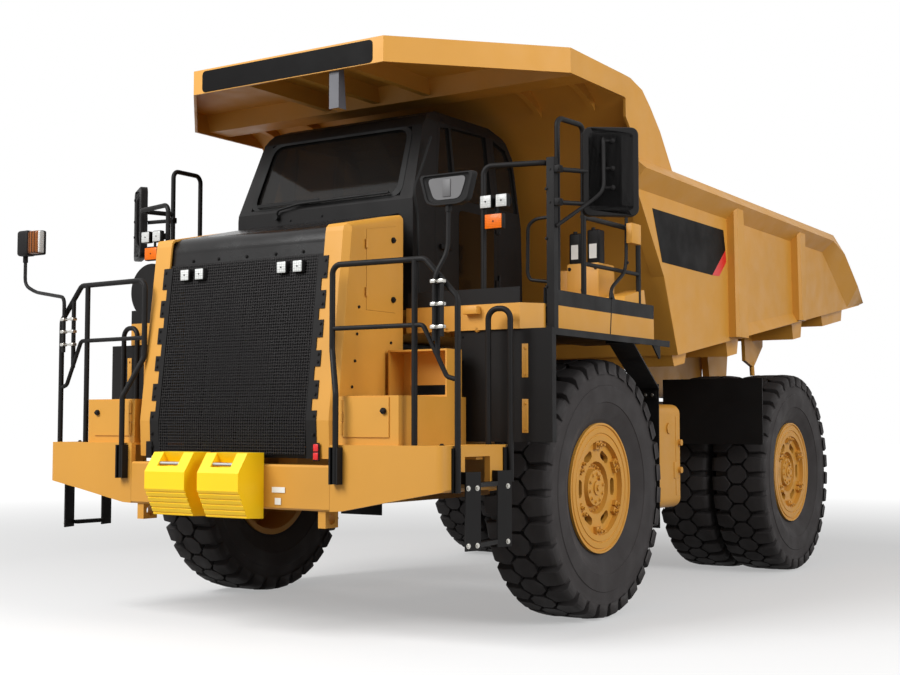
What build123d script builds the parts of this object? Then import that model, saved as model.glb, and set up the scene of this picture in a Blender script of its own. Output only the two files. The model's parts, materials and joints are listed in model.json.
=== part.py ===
import os

from build123d import *

os.makedirs("parts", exist_ok=True)

# Stance: the truck faces -Y, its left side is +X, and it stands on z = 0
wheelbase = 3960
front_track = 3100
rear_outer_track = 3150
rear_inner_track = 2040
tyre_radius = 935
chock_reach = 2330
tail_reach = 6130
half_width = 2385

# The origin lies under the middle of the whole length
fy = (chock_reach - tail_reach) / 2
ry = fy + wheelbase
front_x = front_track / 2
outer_x = rear_outer_track / 2
inner_x = rear_inner_track / 2

# Gaps between pieces that move past or seat on each other
seat_gap = 0.3
pin_gap = 0.5
side_gap = 4

# Sheet and tube sizes
skin = 12
tread_plate = 15
rail_tube = 19
stem_tube = 14
knuckle_tube = 9

# Chassis rails
rail_inner = 340
rail_outer = 500
rail_bottom = 830
rail_top = 1250
rail_rear_bottom = 1240
rail_rear_top = 1620
rail_front = fy - 1930
rail_end = fy + 5250
kick_start = fy + 1150
kick_end = fy + 2450

# Rear pivot and hoist
tip_y = fy + 5100
tip_z = 1750
pin_radius = 50
boss_radius = 150
ear_thickness = 76
hoist_x = 630
hoist_foot = (fy + 2800, 750)
hoist_head = (fy + 2600, 1965)
foot_pin_radius = 40
head_pin_radius = 30
hoist_fork = 66
fork_plate = 16
barrel_radius = 92
outer_sleeve_radius = 80
inner_sleeve_radius = 66
rod_radius = 52
eye_radius = 95

# Dump body
body_half = 1800
body_wall = 20
floor_front = (fy + 1247, 1948)
tail_tip = (fy + tail_reach, 2700)
bearer_inner = 360
bearer_outer = 480
bearer_bottom = 1660
split_y = fy + 330
canopy_front = fy - 1511
canopy_corner = fy - 540
canopy_nose_half = 880
canopy_top = 4040
canopy_board = 180

# Tyres and rims
rim_seat = 425
lug_count = 32
lug_depth = 34
steer_x = 1000
strut_radius = 125
spindle_radius = 80
hub_bore = 150

# Bumper and wings
bumper_half = 885
bumper_face = fy - 2080
bumper_bottom = 844
bumper_top = 1134
wing_side = 1745
wing_rear = fy - 1255
wing_top = 1265
wing_wall = 40
tow_bore = 35
step_front = fy - 2030
step_door_low = 1330
step_door_high = 1550
arm_rail_y = fy - 1967

# Nose, decks and cab
hood_half = 885
grille_half = 700
nose_foot = (fy - 2030, 1175)
nose_bend = (fy - 2042, 1421)
nose_head = (fy - 1900, 2520)
deck_bottom = 2020
deck_top = 2190
deck_front = fy - 1240
deck_rear = fy + 600
deck_half = 2020
deck_edge = 1890
cab_half = 820
cab_roof = 3720
cab_wall = 45
sill_top = 3060
door_front = fy - 780
door_rear = fy + 80
post_x = 1930
hoop_x = 1815


def slab(x0, x1, y0, y1, z0, z1, mode=Mode.ADD):
    """Add a box given by its six faces."""
    with Locations(((x0 + x1) / 2, (y0 + y1) / 2, (z0 + z1) / 2)):
        return Box(x1 - x0, y1 - y0, z1 - z0, mode=mode)


def side_plate(points, x0, x1, mode=Mode.ADD, inset=0):
    """Add a plate that is a (y, z) outline, drawn in by inset, pulled from x0 to x1."""
    with BuildSketch(Plane.YZ.offset(x0)) as outline:
        with BuildLine():
            Polyline(*points, close=True)
        make_face()
        if inset:
            offset(amount=-inset, kind=Kind.INTERSECTION)
    return extrude(outline.sketch, amount=x1 - x0, mode=mode)


def plan_plate(points, z0, z1, mode=Mode.ADD):
    """Add a plate that is an (x, y) outline pulled from z0 to z1."""
    with BuildSketch(Plane.XY.offset(z0)) as outline:
        with BuildLine():
            Polyline(*points, close=True)
        make_face()
    return extrude(outline.sketch, amount=z1 - z0, mode=mode)


def front_plate(points, y0, y1, mode=Mode.ADD, inset=0):
    """Add a plate that is an (x, z) outline, drawn in by inset, pulled from y0 to y1."""
    with BuildSketch(Plane.XZ.offset(-y0)) as outline:
        with BuildLine():
            Polyline(*points, close=True)
        make_face()
        if inset:
            offset(amount=-inset, kind=Kind.INTERSECTION)
    return extrude(outline.sketch, amount=-(y1 - y0), mode=mode)


def rod(start, end, radius, mode=Mode.ADD):
    """Add a round bar between two points."""
    axis = Vector(*end) - Vector(*start)
    with BuildSketch(Plane(origin=start, z_dir=axis)) as section:
        Circle(radius)
    return extrude(section.sketch, amount=axis.length, mode=mode)


def bent_tube(points, radius, bend):
    """Add a round bar that follows the points with equal bends."""
    with BuildLine() as path:
        FilletPolyline(*points, radius=bend)
    with BuildSketch(Plane(origin=path.line @ 0, z_dir=path.line % 0)) as section:
        Circle(radius)
    return sweep(section.sketch, path=path.line)


def hinge_barrels(x, y, heights):
    """Add upright hinge barrels, each from a low to a high z."""
    for low, high in heights:
        rod((x, y, low), (x, y, high), knuckle_tube)


def keep(name, piece):
    """Label a finished piece and write it to its own file."""
    piece.part.label = name
    export_step(piece.part, f"parts/{name}.step")


def keep_both(name, left):
    """Write a left piece and its mirror image together, as they share one body."""
    with BuildPart() as both:
        add(left.part)
        mirror(left.part, about=Plane.YZ)
    keep(name, both)


def keep_pair(name, left):
    """Write a left piece and its mirror image on the right."""
    keep(name + "_left", left)
    with BuildPart() as right:
        mirror(left.part, about=Plane.YZ)
    keep(name + "_right", right)


# Chassis frame: left half first, with its hoist hanger and engine bay posts
with BuildPart() as half_frame:
    side_plate((
        (rail_front, rail_bottom),
        (kick_start, rail_bottom),
        (kick_end, rail_rear_bottom),
        (rail_end, rail_rear_bottom),
        (rail_end, rail_rear_top),
        (kick_end - 60, rail_rear_top),
        (kick_start - 60, rail_top),
        (rail_front, rail_top),
    ), rail_inner, rail_outer)
    with BuildSketch(Plane.YZ.offset(rail_inner)) as boss:
        with Locations((tip_y, tip_z)):
            Circle(boss_radius)
        with Locations((tip_y, (tip_z + rail_rear_bottom) / 2)):
            Rectangle(boss_radius * 2, tip_z - rail_rear_bottom)
    extrude(boss.sketch, amount=rail_outer - rail_inner)
    hanger_top = rail_rear_top - 100
    with BuildSketch(Plane.YZ.offset(rail_outer)) as hanger:
        with Locations(hoist_foot):
            Circle(eye_radius)
        with Locations((hoist_foot[0], (hoist_foot[1] + hanger_top) / 2)):
            Rectangle(eye_radius * 2, hanger_top - hoist_foot[1])
    extrude(hanger.sketch, amount=36)
    rod((rail_outer, *hoist_foot), (hoist_x + hoist_fork + fork_plate, *hoist_foot), foot_pin_radius)
    for post_y in (fy - 1100, fy + 450):
        slab(rail_inner, rail_outer, post_y, post_y + 100, rail_top - 10, deck_bottom)
    pin_end = rail_outer + side_gap + ear_thickness + 30
    rod((0, tip_y, tip_z), (pin_end, tip_y, tip_z), pin_radius)
with BuildPart() as frame:
    add(half_frame.part)
    mirror(half_frame.part, about=Plane.YZ)
    for y0, y1, z0, z1 in (
        (fy - 1850, fy - 1650, rail_bottom + 70, rail_top - 70),
        (fy + 1700, fy + 1850, 1060, 1260),
        (fy + 3000, fy + 3120, rail_rear_bottom + 40, rail_rear_top - 40),
    ):
        slab(-rail_inner, rail_inner, y0, y1, z0, z1)
    rod((-rail_inner, tip_y, rail_rear_bottom + 200), (rail_inner, tip_y, rail_rear_bottom + 200), 110)
keep("chassis_frame", frame)

# Front crossmember with the two strut towers
tower_bottom = 1280
tower_top = 1850
with BuildPart() as tower:
    front_plate((
        (steer_x, tower_bottom), (steer_x, tower_top), (560, tower_top), (rail_outer, 1600),
        (rail_outer, rail_top), (700, rail_top),
    ), fy - 150, fy + 150)
    slab(0, rail_outer, fy - 150, fy + 150, rail_top, rail_top + 80)
    with Locations((steer_x, fy, (tower_bottom + tower_top) / 2)):
        Cylinder(strut_radius + 28, tower_top - tower_bottom)
        Cylinder(strut_radius, tower_top - tower_bottom + 80, mode=Mode.SUBTRACT)
with BuildPart() as towers:
    add(tower.part)
    mirror(tower.part, about=Plane.YZ)
keep("strut_towers", towers)

# Knuckles: the strut rod turns in its tower and carries the wheel spindle
with BuildPart() as knuckle:
    rod((steer_x, fy, 770), (steer_x, fy, tower_top), strut_radius - pin_gap)
    rod((steer_x, fy, 740), (steer_x, fy, 1040), 150)
    rod((steer_x, fy, tyre_radius), (front_x - 130, fy, tyre_radius), 120)
    rod((steer_x, fy, tyre_radius), (front_x + 60, fy, tyre_radius), spindle_radius)
    plan_plate(((steer_x - 90, fy), (steer_x - 45, fy + 420), (steer_x + 45, fy + 420), (steer_x + 90, fy)),
               780, 830)
keep_pair("steering_knuckle", knuckle)

# Rims: the outer face as (x from the tyre's middle, radius), shared by front and rear
rim_face = (
    (193, 470), (193, 456), (183, 452), (183, 438), (191, 434), (191, 398), (184, 394), (184, 386),
    (190, 382), (188, 342), (150, 338), (150, 190), (105, 180), (105, 138), (150, 128), (158, 0),
)
rim_hub_end = 70
hand_holes = 6


def rim_section(points):
    """Revolve a closed (x, radius) section about the wheel's axle."""
    with BuildSketch(Plane.XZ) as section:
        with BuildLine():
            Polyline(*points, close=True)
        make_face()
    revolve(section.sketch, axis=Axis.X)


def dress_rim(middle):
    """Cut the hand holes of a rim and set the paired clamps around its recess."""
    with BuildSketch(Plane.YZ.offset(middle + rim_hub_end)) as holes:
        with PolarLocations(252, hand_holes):
            SlotOverall(130, 60, rotation=90)
    extrude(holes.sketch, amount=120, mode=Mode.SUBTRACT)
    with BuildSketch(Plane.YZ.offset(middle + 140)) as clamps:
        with PolarLocations(310, hand_holes, start_angle=180 / hand_holes):
            with Locations((0, -27), (0, 27)):
                Rectangle(62, 40)
    extrude(clamps.sketch, amount=38)


with BuildPart() as front_rim:
    rim_section((
        (-193, rim_seat), (-193, 470), (-172, 470), (-172, 446), (172, 446), (172, 470),
        *rim_face,
        (rim_hub_end, 0), (rim_hub_end, spindle_radius + pin_gap), (-60, spindle_radius + pin_gap),
        (-60, 190), (60, 200), (95, 230), (125, 300), (125, rim_seat),
    ))
    dress_rim(0)
front_rim.part.locate(Location((front_x, fy, tyre_radius)))
keep_pair("front_rim", front_rim)

# Both rims of a rear side on one hub
with BuildPart() as rear_rim:
    rim_section((
        (inner_x - 188, rim_seat), (inner_x - 188, 470), (inner_x - 172, 470), (inner_x - 172, 446),
        (inner_x + 172, 446), (inner_x + 172, 470), (outer_x - 172, 470), (outer_x - 172, 446),
        (outer_x + 172, 446), (outer_x + 172, 470),
        *[(outer_x + x, radius) for x, radius in rim_face],
        (outer_x + rim_hub_end, 0), (outer_x + rim_hub_end, hub_bore), (inner_x - 100, hub_bore),
        (inner_x - 100, 215), (outer_x + 60, 215), (outer_x + 95, 240), (outer_x + 125, 300),
        (outer_x + 125, rim_seat),
    ))
    dress_rim(outer_x)
rear_rim.part.locate(Location((0, ry, tyre_radius)))
keep_pair("rear_rim", rear_rim)

# Tyres: a round section with a ring of lugs on each shoulder
with BuildPart() as tyre:
    with BuildSketch(Plane.XZ) as tyre_half:
        with BuildLine():
            Polyline((-169, 446.3), (169, 446.3), (169, 478), (180, 500))
            ThreePointArc((180, 500), (247, 690), (232, 850))
            Polyline((232, 850), (250, 866), (246, 905), (222, 924), (130, tyre_radius), (-130, tyre_radius),
                     (-222, 924), (-246, 905), (-250, 866), (-232, 850))
            ThreePointArc((-232, 850), (-247, 690), (-180, 500))
            Polyline((-180, 500), (-169, 478), (-169, 446.3))
        make_face()
    revolve(tyre_half.sketch, axis=Axis.X)
    for side in (-1, 1):
        with BuildSketch(Plane.YZ.offset(side * 200 - 70)) as slots:
            with PolarLocations(tyre_radius, lug_count):
                Rectangle(lug_depth * 2, 62)
        extrude(slots.sketch, amount=140, mode=Mode.SUBTRACT)
tyre_places = (
    ("front_tyre", [(front_x, fy, tyre_radius)]),
    ("rear_tyres", [(outer_x, ry, tyre_radius), (inner_x, ry, tyre_radius)]),
)
for tyre_name, centres in tyre_places:
    with BuildPart() as placed:
        with Locations(*centres):
            add(tyre.part)
    keep_pair(tyre_name, placed)

# Rear axle, its A-frame and struts
axle_radius = 200
diff_radius = 295
with BuildPart() as axle:
    with BuildSketch(Plane(origin=(0, ry, tyre_radius), x_dir=(1, 0, 0), z_dir=(0, -1, 0))) as housing_half:
        with BuildLine():
            Polyline(
                (-outer_x, 0), (-outer_x, hub_bore - pin_gap), (160 - inner_x, hub_bore - pin_gap),
                (160 - inner_x, axle_radius), (-330, axle_radius), (-250, diff_radius),
                (250, diff_radius), (330, axle_radius), (inner_x - 160, axle_radius),
                (inner_x - 160, hub_bore - pin_gap), (outer_x, hub_bore - pin_gap), (outer_x, 0), close=True)
        make_face()
    revolve(housing_half.sketch, axis=Axis((0, ry, tyre_radius), (1, 0, 0)))
    for side in (-1, 1):
        strut_x = side * (bearer_inner + bearer_outer) / 2
        slab(strut_x - 60, strut_x + 60, ry, ry + 460, 860, 980)
        rod((strut_x, ry + 370, 980), (strut_x, ry + 370, rail_rear_bottom), 75)
        rod((side * 300, ry, tyre_radius), (side * 130, fy + 1830, 1000), 50)
        slab(side * 130 - 50, side * 130 + 50, fy + 1780, fy + 1850, 940, 1060 - seat_gap)
keep("rear_axle", axle)

# Engine, gearbox with its shaft, and radiator
with BuildPart() as engine:
    slab(-330, 330, fy - 1600, fy + 250, 1350, 2000)
    for mount_y in (fy - 1500, fy - 600):
        slab(-420, 420, mount_y, mount_y + 200, rail_top, 1350)
keep("engine_block", engine)

with BuildPart() as gearbox:
    slab(-280, 280, fy + 300, fy + 1450, 850, 1280)
    slab(-rail_inner, rail_inner, fy + 600, fy + 760, 1120, 1200)
    rod((0, fy + 1450, 900), (0, ry - diff_radius - 3, tyre_radius), 55)
keep("gearbox_and_shaft", gearbox)

with BuildPart() as radiator:
    slab(-620, 620, fy - 1840, fy - 1700, rail_top, 2450)
keep("radiator", radiator)

# Bumper with its tow eyes
with BuildPart() as bumper:
    slab(-bumper_half, bumper_half, bumper_face, rail_front, bumper_bottom, bumper_top)
    chamfer(bumper.edges().filter_by(Axis.X).group_by(Axis.Y)[0], 12)
    for side in (-1, 1):
        eye_x = side * 810
        slab(eye_x - 30, eye_x + 30, fy - 2060, rail_front, 735, bumper_bottom)
        rod((eye_x - 30, fy - 1995, 792), (eye_x + 30, fy - 1995, 792), tow_bore, mode=Mode.SUBTRACT)
keep("bumper_centre", bumper)

# Bumper wings: a box open below and behind, its front edge rising outwards
toe_hole = (fy - 1832, fy - 1540, 1014, 1196)
with BuildPart() as wing:
    slab(bumper_half + 2, wing_side, bumper_face, wing_rear, bumper_bottom, wing_top)
    fillet(wing.edges().filter_by(Axis.Z).group_by(Axis.X)[-1], 60)
    slab(bumper_half, wing_side - wing_wall, bumper_face + wing_wall, wing_rear - wing_wall,
         bumper_bottom, wing_top - tread_plate, mode=Mode.SUBTRACT)
    slab(bumper_half, wing_side - 160, wing_rear - wing_wall, wing_rear, bumper_bottom,
         wing_top - tread_plate, mode=Mode.SUBTRACT)
    front_plate((
        (bumper_half, bumper_bottom), (970, 848), (1440, 936), (wing_side - 18, 986), (wing_side, 1000),
        (wing_side, bumper_bottom - 10), (bumper_half, bumper_bottom - 10),
    ), bumper_face, wing_rear, mode=Mode.SUBTRACT)
    slab(wing_side - 2 * wing_wall, wing_side, *toe_hole, mode=Mode.SUBTRACT)
    slab(rail_inner, bumper_half + 5, fy - 1660, fy - 1540, rail_top, wing_top)
    slab(bumper_half + 2, wing_side - wing_wall, fy - 1640, fy - 1560, wing_top - 90, wing_top - tread_plate)
keep_both("bumper_wings", wing)

# Wheel chocks on the bumper, each with a hand bar in its upper slope and grooves below
chock_foot = (fy - 2241, 789)
chock_toe = (fy - chock_reach, 965)
chock_brow = (fy - chock_reach, 1080)
chock_crown = (fy - 2241, 1209)
groove_count = 5
with BuildPart() as chocks:
    for x0, x1 in ((-498, -133), (-17, 340)):
        side_plate(((bumper_face, 781), chock_foot, chock_toe, chock_brow, chock_crown, (bumper_face, 1210)),
                   x0, x1)
        side_plate(((fy - 2255, 1240), (fy - 2322, 1142), (fy - 2270, 1070), (fy - 2205, 1140)),
                   x0 + 90, x1 - 90, mode=Mode.SUBTRACT)
        rod((x0 + 80, fy - 2268, 1134), (x1 - 80, fy - 2268, 1134), 11)
        for groove in range(groove_count):
            share = (groove + 0.6) / groove_count
            groove_y = chock_toe[0] + share * (chock_foot[0] - chock_toe[0])
            groove_z = chock_toe[1] + share * (chock_foot[1] - chock_toe[1])
            rod((x0, groove_y, groove_z), (x1, groove_y, groove_z), 7, mode=Mode.SUBTRACT)
keep("wheel_chocks", chocks)

# Access ladders outside the wings: two hangers as plan outlines and two treads
ladder_foot = 625
ladder_head = 1105
hangers = (
    ((1789, fy - 1891), (1824, fy - 1774), (1813, fy - 1771), (1778, fy - 1888)),
    ((1793, fy - 1524), (1824, fy - 1404), (1813, fy - 1401), (1782, fy - 1521)),
)
with BuildPart() as ladder:
    for hanger_plan in hangers:
        plan_plate(hanger_plan, ladder_foot, ladder_head)
        bracket_y = hanger_plan[0][1] + 8
        slab(wing_side + seat_gap, hanger_plan[0][0], bracket_y, bracket_y + skin,
             ladder_head - 75, ladder_head)
    for tread_z in (ladder_foot + 20, 1010):
        plan_plate(((1823, fy - 1776), (1793, fy - 1522), (1751, fy - 1522), (1766, fy - 1776)),
                   tread_z, tread_z + 28)
keep_both("ladders", ladder)

# Tool boxes on the wings
step_inner = 912
step_outer = 1385
step_high = 1575
door_hinge = (948, step_front - 10)
with BuildPart() as steps:
    slab(step_inner, step_outer, step_front, fy - 1260, wing_top, step_high)
    slab(step_inner + skin, step_outer - skin, step_front + skin, fy - 1272,
         wing_top + skin, step_high - skin, mode=Mode.SUBTRACT)
    slab(965, 1300, step_front, step_front + skin, step_door_low, step_door_high, mode=Mode.SUBTRACT)
    slab(door_hinge[0] - 8, door_hinge[0] + 2, step_front - 8, step_front, 1415, 1465)
    hinge_barrels(*door_hinge, ((1415, 1465),))
keep_both("step_boxes", steps)

# Shelves on the tool boxes' lids, open in front, with a slot low in the rear wall
shelf_front = fy - 1490
shelf_rear = fy - 1310
shelf_low = step_high + seat_gap
shelf_high = 1890
with BuildPart() as shelf:
    slab(step_inner, step_outer, shelf_front, shelf_rear, shelf_low, shelf_high)
    slab(step_inner + skin, step_outer - skin, shelf_front, shelf_rear - skin, shelf_low + skin,
         shelf_high - skin, mode=Mode.SUBTRACT)
    slab(980, 1290, shelf_rear - skin, shelf_rear, shelf_low + skin, 1658, mode=Mode.SUBTRACT)
keep_both("step_shelves", shelf)

with BuildPart() as step_door:
    slab(door_hinge[0], 1315, step_front - 8 - seat_gap, step_front - seat_gap, step_door_low - 15,
         step_door_high + 15)
    slab(door_hinge[0] - 12, door_hinge[0] + 14, step_front - 9, step_front, 1405, 1475, mode=Mode.SUBTRACT)
    hinge_barrels(*door_hinge, ((step_door_low, 1405), (1475, step_door_high)))
    rod((1279, step_front - 20, 1479), (1279, step_front - 4, 1479), 16)
keep_pair("step_box_door", step_door)


def nose_y(z):
    """Give the y of the nose's sloped face at this height."""
    share = (z - nose_bend[1]) / (2660 - nose_bend[1])
    return nose_bend[0] + share * (fy - 1900 - nose_bend[0])


# Cheeks: sheet boxes open to the inside, with teeth over the grille's border
cheek_rear = fy - 1280
cheek_outline = (
    nose_foot, (fy - 1932, 1175), (fy - 1932, wing_top), (cheek_rear, wing_top), (cheek_rear, 2838),
    (fy - 1868, 2713), (fy - 1893, 2690), (fy - 1900, 2660), nose_bend,
)
lid_outline = ((fy - 1700, 2150), (fy - 1370, 2150), (fy - 1370, 2745), (fy - 1700, 2690))
with BuildPart() as cheek:
    side_plate(cheek_outline, grille_half, hood_half)
    chamfer(cheek.edges().filter_by(Axis.X, reverse=True).group_by(Axis.X)[-1].filter_by_position(
        Axis.Y, fy - 2100, fy - 1890), 40)
    fillet(cheek.edges().filter_by(Axis.X, reverse=True).group_by(Axis.X)[-1].sort_by(Axis.Z)[-1], 45)
    side_plate(cheek_outline, grille_half, hood_half - 45, mode=Mode.SUBTRACT, inset=skin + 3)
    slab(hood_half - 50, hood_half - 8, fy - 1690, fy - 1380, wing_top + skin, 2140, mode=Mode.SUBTRACT)
    side_plate(lid_outline, hood_half - 8, hood_half + 1, mode=Mode.SUBTRACT)
keep_both("nose_cheeks", cheek)

lid_hinge = (hood_half + 10, fy - 1709)
with BuildPart() as cheek_door:
    side_plate(lid_outline, hood_half - 8 + seat_gap, hood_half + 2, inset=1.5)
    slab(hood_half + 1, hood_half + 6, lid_hinge[1], fy - 1690, 2240, 2300)
    slab(hood_half + 1, hood_half + 6, lid_hinge[1], fy - 1690, 2560, 2620)
    hinge_barrels(*lid_hinge, ((2240, 2300), (2560, 2620)))
keep_pair("service_door", cheek_door)

# Grille: a frame with tabs over the cheeks and slats that follow the nose's slope
slat_pitch = 38
grille_low = nose_foot[1]
grille_high = nose_head[1]
tab_reach = 745
tabs = ((2350, 2500), (2150, 2270), (1960, 2075), (1770, 1875), (1560, 1680), (1421, 1485))
with BuildPart() as grille:
    frame_outline = (
        (nose_foot[0] + 18, grille_low), (nose_bend[0] + 18, nose_bend[1]),
        (nose_y(grille_high) + 18, grille_high),
        (nose_y(grille_high) + 60, grille_high), (nose_bend[0] + 60, nose_bend[1]),
        (nose_foot[0] + 60, grille_low),
    )
    side_plate(frame_outline, seat_gap - grille_half, grille_half - seat_gap)
    for z0, z1 in ((grille_low + 60, nose_bend[1] - 20), (nose_bend[1] + 30, 2330)):
        slab(-640, 640, fy - 2200, fy - 1700, z0, z1, mode=Mode.SUBTRACT)
    slat_z = grille_low + 60
    while slat_z < 2320:
        slat_y = nose_y(slat_z) if slat_z > nose_bend[1] else nose_bend[0]
        slab(-650, 650, slat_y + 30, slat_y + 55, slat_z, slat_z + 10)
        slat_z += slat_pitch
    for rib_x in (-320, 0, 320):
        side_plate(((nose_bend[0] + 40, grille_low + 20), (nose_bend[0] + 40, nose_bend[1]),
                    (nose_y(2400) + 40, 2400), (nose_y(2400) + 58, 2400), (nose_bend[0] + 58, nose_bend[1]),
                    (nose_bend[0] + 58, grille_low + 20)), rib_x - 8, rib_x + 8)
    for side in (-1, 1):
        x0, x1 = sorted((side * (grille_half - 40), side * tab_reach))
        for z0, z1 in tabs:
            side_plate(((nose_y(z0) - 6, z0), (nose_y(z1) - 6, z1), (nose_y(z1) - seat_gap, z1),
                        (nose_y(z0) - seat_gap, z0)), x0, x1)
        side_plate(((nose_foot[0] - 6, grille_low), (nose_bend[0] - 6, nose_bend[1]),
                    (nose_bend[0] - seat_gap, nose_bend[1]), (nose_foot[0] - seat_gap, grille_low)), x0, x1)
        x0, x1 = sorted((side * (grille_half - 40), side * (grille_half - seat_gap)))
        side_plate(((nose_foot[0] - 6, grille_low), (nose_bend[0] - 6, nose_bend[1]),
                    (nose_y(2500) - 6, 2500), (nose_y(2500) + 20, 2500), (nose_bend[0] + 20, nose_bend[1]),
                    (nose_foot[0] + 20, grille_low)), x0, x1)
    slab(-500, 500, fy - 1960, rail_front - seat_gap, 1180, rail_top)
keep("grille", grille)

# Bonnet: a rounded sheet between the cheeks
with BuildPart() as bonnet:
    with BuildSketch(Plane.YZ.offset(seat_gap - grille_half)) as bonnet_outline:
        with BuildLine():
            Line((fy - 1888, grille_high + seat_gap), (fy - 1880, 2600))
            ThreePointArc((fy - 1880, 2600), (fy - 1853, 2682), (fy - 1800, 2722))
            Line((fy - 1800, 2722), (fy - 1075, 2890))
            Line((fy - 1075, 2890), (fy - 1075, 2875))
            Line((fy - 1075, 2875), (fy - 1804, 2706))
            ThreePointArc((fy - 1804, 2706), (fy - 1839, 2672), (fy - 1860, 2600))
            Line((fy - 1860, 2600), (fy - 1860, grille_high + seat_gap))
            Line((fy - 1860, grille_high + seat_gap), (fy - 1888, grille_high + seat_gap))
        make_face()
    extrude(bonnet_outline.sketch, amount=2 * (grille_half - seat_gap))
keep("bonnet", bonnet)

# Decks, hollow below, and the black fenders under them
with BuildPart() as deck_centre:
    slab(-hood_half, hood_half, fy - 1150, deck_rear, deck_bottom, deck_top)
keep("deck_centre", deck_centre)

deck_outline = (
    (hood_half, deck_front), (1790, deck_front), (deck_edge, fy - 1100), (deck_edge, deck_rear),
    (hood_half, deck_rear),
)
with BuildPart() as deck:
    plan_plate(deck_outline, deck_bottom, deck_top)
    for y0, y1 in ((deck_front + skin, fy - 700), (fy - 688, fy - 80), (fy - 68, deck_rear - skin)):
        slab(hood_half + skin, 1760, y0, y1, deck_bottom, deck_top - skin, mode=Mode.SUBTRACT)
    for y0, y1 in ((fy - 1050, fy - 700), (fy - 688, fy - 80), (fy - 68, deck_rear - skin)):
        slab(1772, deck_edge - skin, y0, y1, deck_bottom, deck_top - skin, mode=Mode.SUBTRACT)
keep_both("decks", deck)

fender_inner = deck_half - 710
with BuildPart() as fender:
    slab(fender_inner, deck_half, fy - 1222, deck_rear, deck_bottom - 15, deck_bottom)
    slab(deck_half - skin, deck_half, fy - 1222, deck_rear, deck_bottom - 45, deck_bottom)
    slab(fender_inner, deck_half, fy - 1222, fy - 1210, 1280, deck_bottom)
    slab(fender_inner, fender_inner + skin, fy - 1222, fy - 1170, 1280, deck_bottom)
    slab(deck_half - skin, deck_half, fy - 1222, fy - 1170, 1280, deck_bottom)
    side_plate(((deck_rear, deck_bottom - 15), (deck_rear - 150, deck_bottom - 15), (deck_rear - 20, 1890),
                (deck_rear, 1890)), deck_half - 90, deck_half - 90 + skin)
keep_both("front_fenders", fender)

# Cab: one block cut to its side and front outlines gives the walls, the door and the glass
cab_side = (
    (fy - 1070, deck_top), (fy - 1070, 2990), (fy - 845, 3570), (fy - 760, 3660), (fy - 620, 3712),
    (fy + 150, cab_roof), (fy + 300, 3660), (fy + 410, 3500), (fy + 450, 2540), (fy + 450, deck_top),
)
cab_face = (
    (-cab_half, deck_top), (cab_half, deck_top), (cab_half, 2950), (cab_half - 75, 3620),
    (cab_half - 130, cab_roof), (130 - cab_half, cab_roof), (75 - cab_half, 3620), (-cab_half, 2950),
)
door_outline = (
    (door_front - 10, 2250), (door_front - 10, 2960), (fy - 645, 3600), (fy - 600, 3645), (door_rear, 3650),
    (door_rear, 2250),
)
side_windows = (
    ((fy - 745, 3090), (fy - 505, sill_top), (fy - 505, 3600), (fy - 615, 3585)),
    ((fy - 475, sill_top), (fy + 20, sill_top), (fy + 20, 3620), (fy - 475, 3605)),
)
quarter_window = (
    (fy + 125, sill_top), (fy + 405, sill_top), (fy + 385, 3420), (fy + 300, 3560), (fy + 125, 3610),
)
windscreen = ((-700, 3020), (700, 3020), (660, 3560), (-660, 3560))
rear_window = ((-600, 2950), (600, 2950), (600, 3400), (-600, 3400))
windscreen_reach = (fy - 1200, fy - 790)
rear_reach = (fy + 380, fy + 500)
wall_reach = (cab_half - 190, cab_half + 20)

with BuildPart() as cab_block:
    side_plate(cab_side, -cab_half, cab_half)
    front_plate(cab_face, fy - 1200, fy + 500, mode=Mode.INTERSECT)
with BuildPart() as cab_walls:
    add(cab_block.part)
    offset(cab_block.part, amount=-cab_wall, mode=Mode.SUBTRACT)
with BuildPart() as pane_shell:
    offset(cab_block.part, amount=-18, mode=Mode.ADD)
    offset(cab_block.part, amount=-26, mode=Mode.SUBTRACT)

hinge_line = (cab_half + 12, door_rear + 6)
door_hinges = ((2420, 2500), (2860, 2940))
with BuildPart() as cab:
    add(cab_walls.part)
    front_plate(windscreen, *windscreen_reach, mode=Mode.SUBTRACT)
    front_plate(rear_window, *rear_reach, mode=Mode.SUBTRACT)
    side_plate(door_outline, *wall_reach, mode=Mode.SUBTRACT)
    side_plate(quarter_window, -cab_half, cab_half, mode=Mode.SUBTRACT)
    for window in side_windows:
        side_plate(window, -cab_half, 0, mode=Mode.SUBTRACT)
    for z0, z1 in door_hinges:
        slab(cab_half - 2, hinge_line[0], door_rear + 2, door_rear + 40, z1 + seat_gap, z1 + 40)
        hinge_barrels(*hinge_line, ((z1 + seat_gap, z1 + 40),))
keep("cab_shell", cab)

with BuildPart() as cab_door:
    side_plate(door_outline, *wall_reach, inset=2)
    add(cab_walls.part, mode=Mode.INTERSECT)
    for window in side_windows:
        side_plate(window, *wall_reach, mode=Mode.SUBTRACT)
    for z0, z1 in door_hinges:
        slab(cab_half - 2, hinge_line[0], door_rear - 40, door_rear - 4, z0, z1)
        slab(cab_half + 1, hinge_line[0], door_rear - 6, hinge_line[1], z0, z1)
        hinge_barrels(*hinge_line, ((z0, z1),))
keep("cab_door", cab_door)

with BuildPart() as cab_glass:
    front_plate(windscreen, *windscreen_reach, inset=seat_gap)
    front_plate(rear_window, *rear_reach, inset=seat_gap)
    side_plate(quarter_window, -cab_half, 200 - cab_half, inset=seat_gap)
    side_plate(quarter_window, cab_half - 200, cab_half, inset=seat_gap)
    for window in side_windows:
        side_plate(window, -cab_half, 200 - cab_half, inset=seat_gap)
    add(pane_shell.part, mode=Mode.INTERSECT)
keep("cab_glass", cab_glass)

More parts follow.
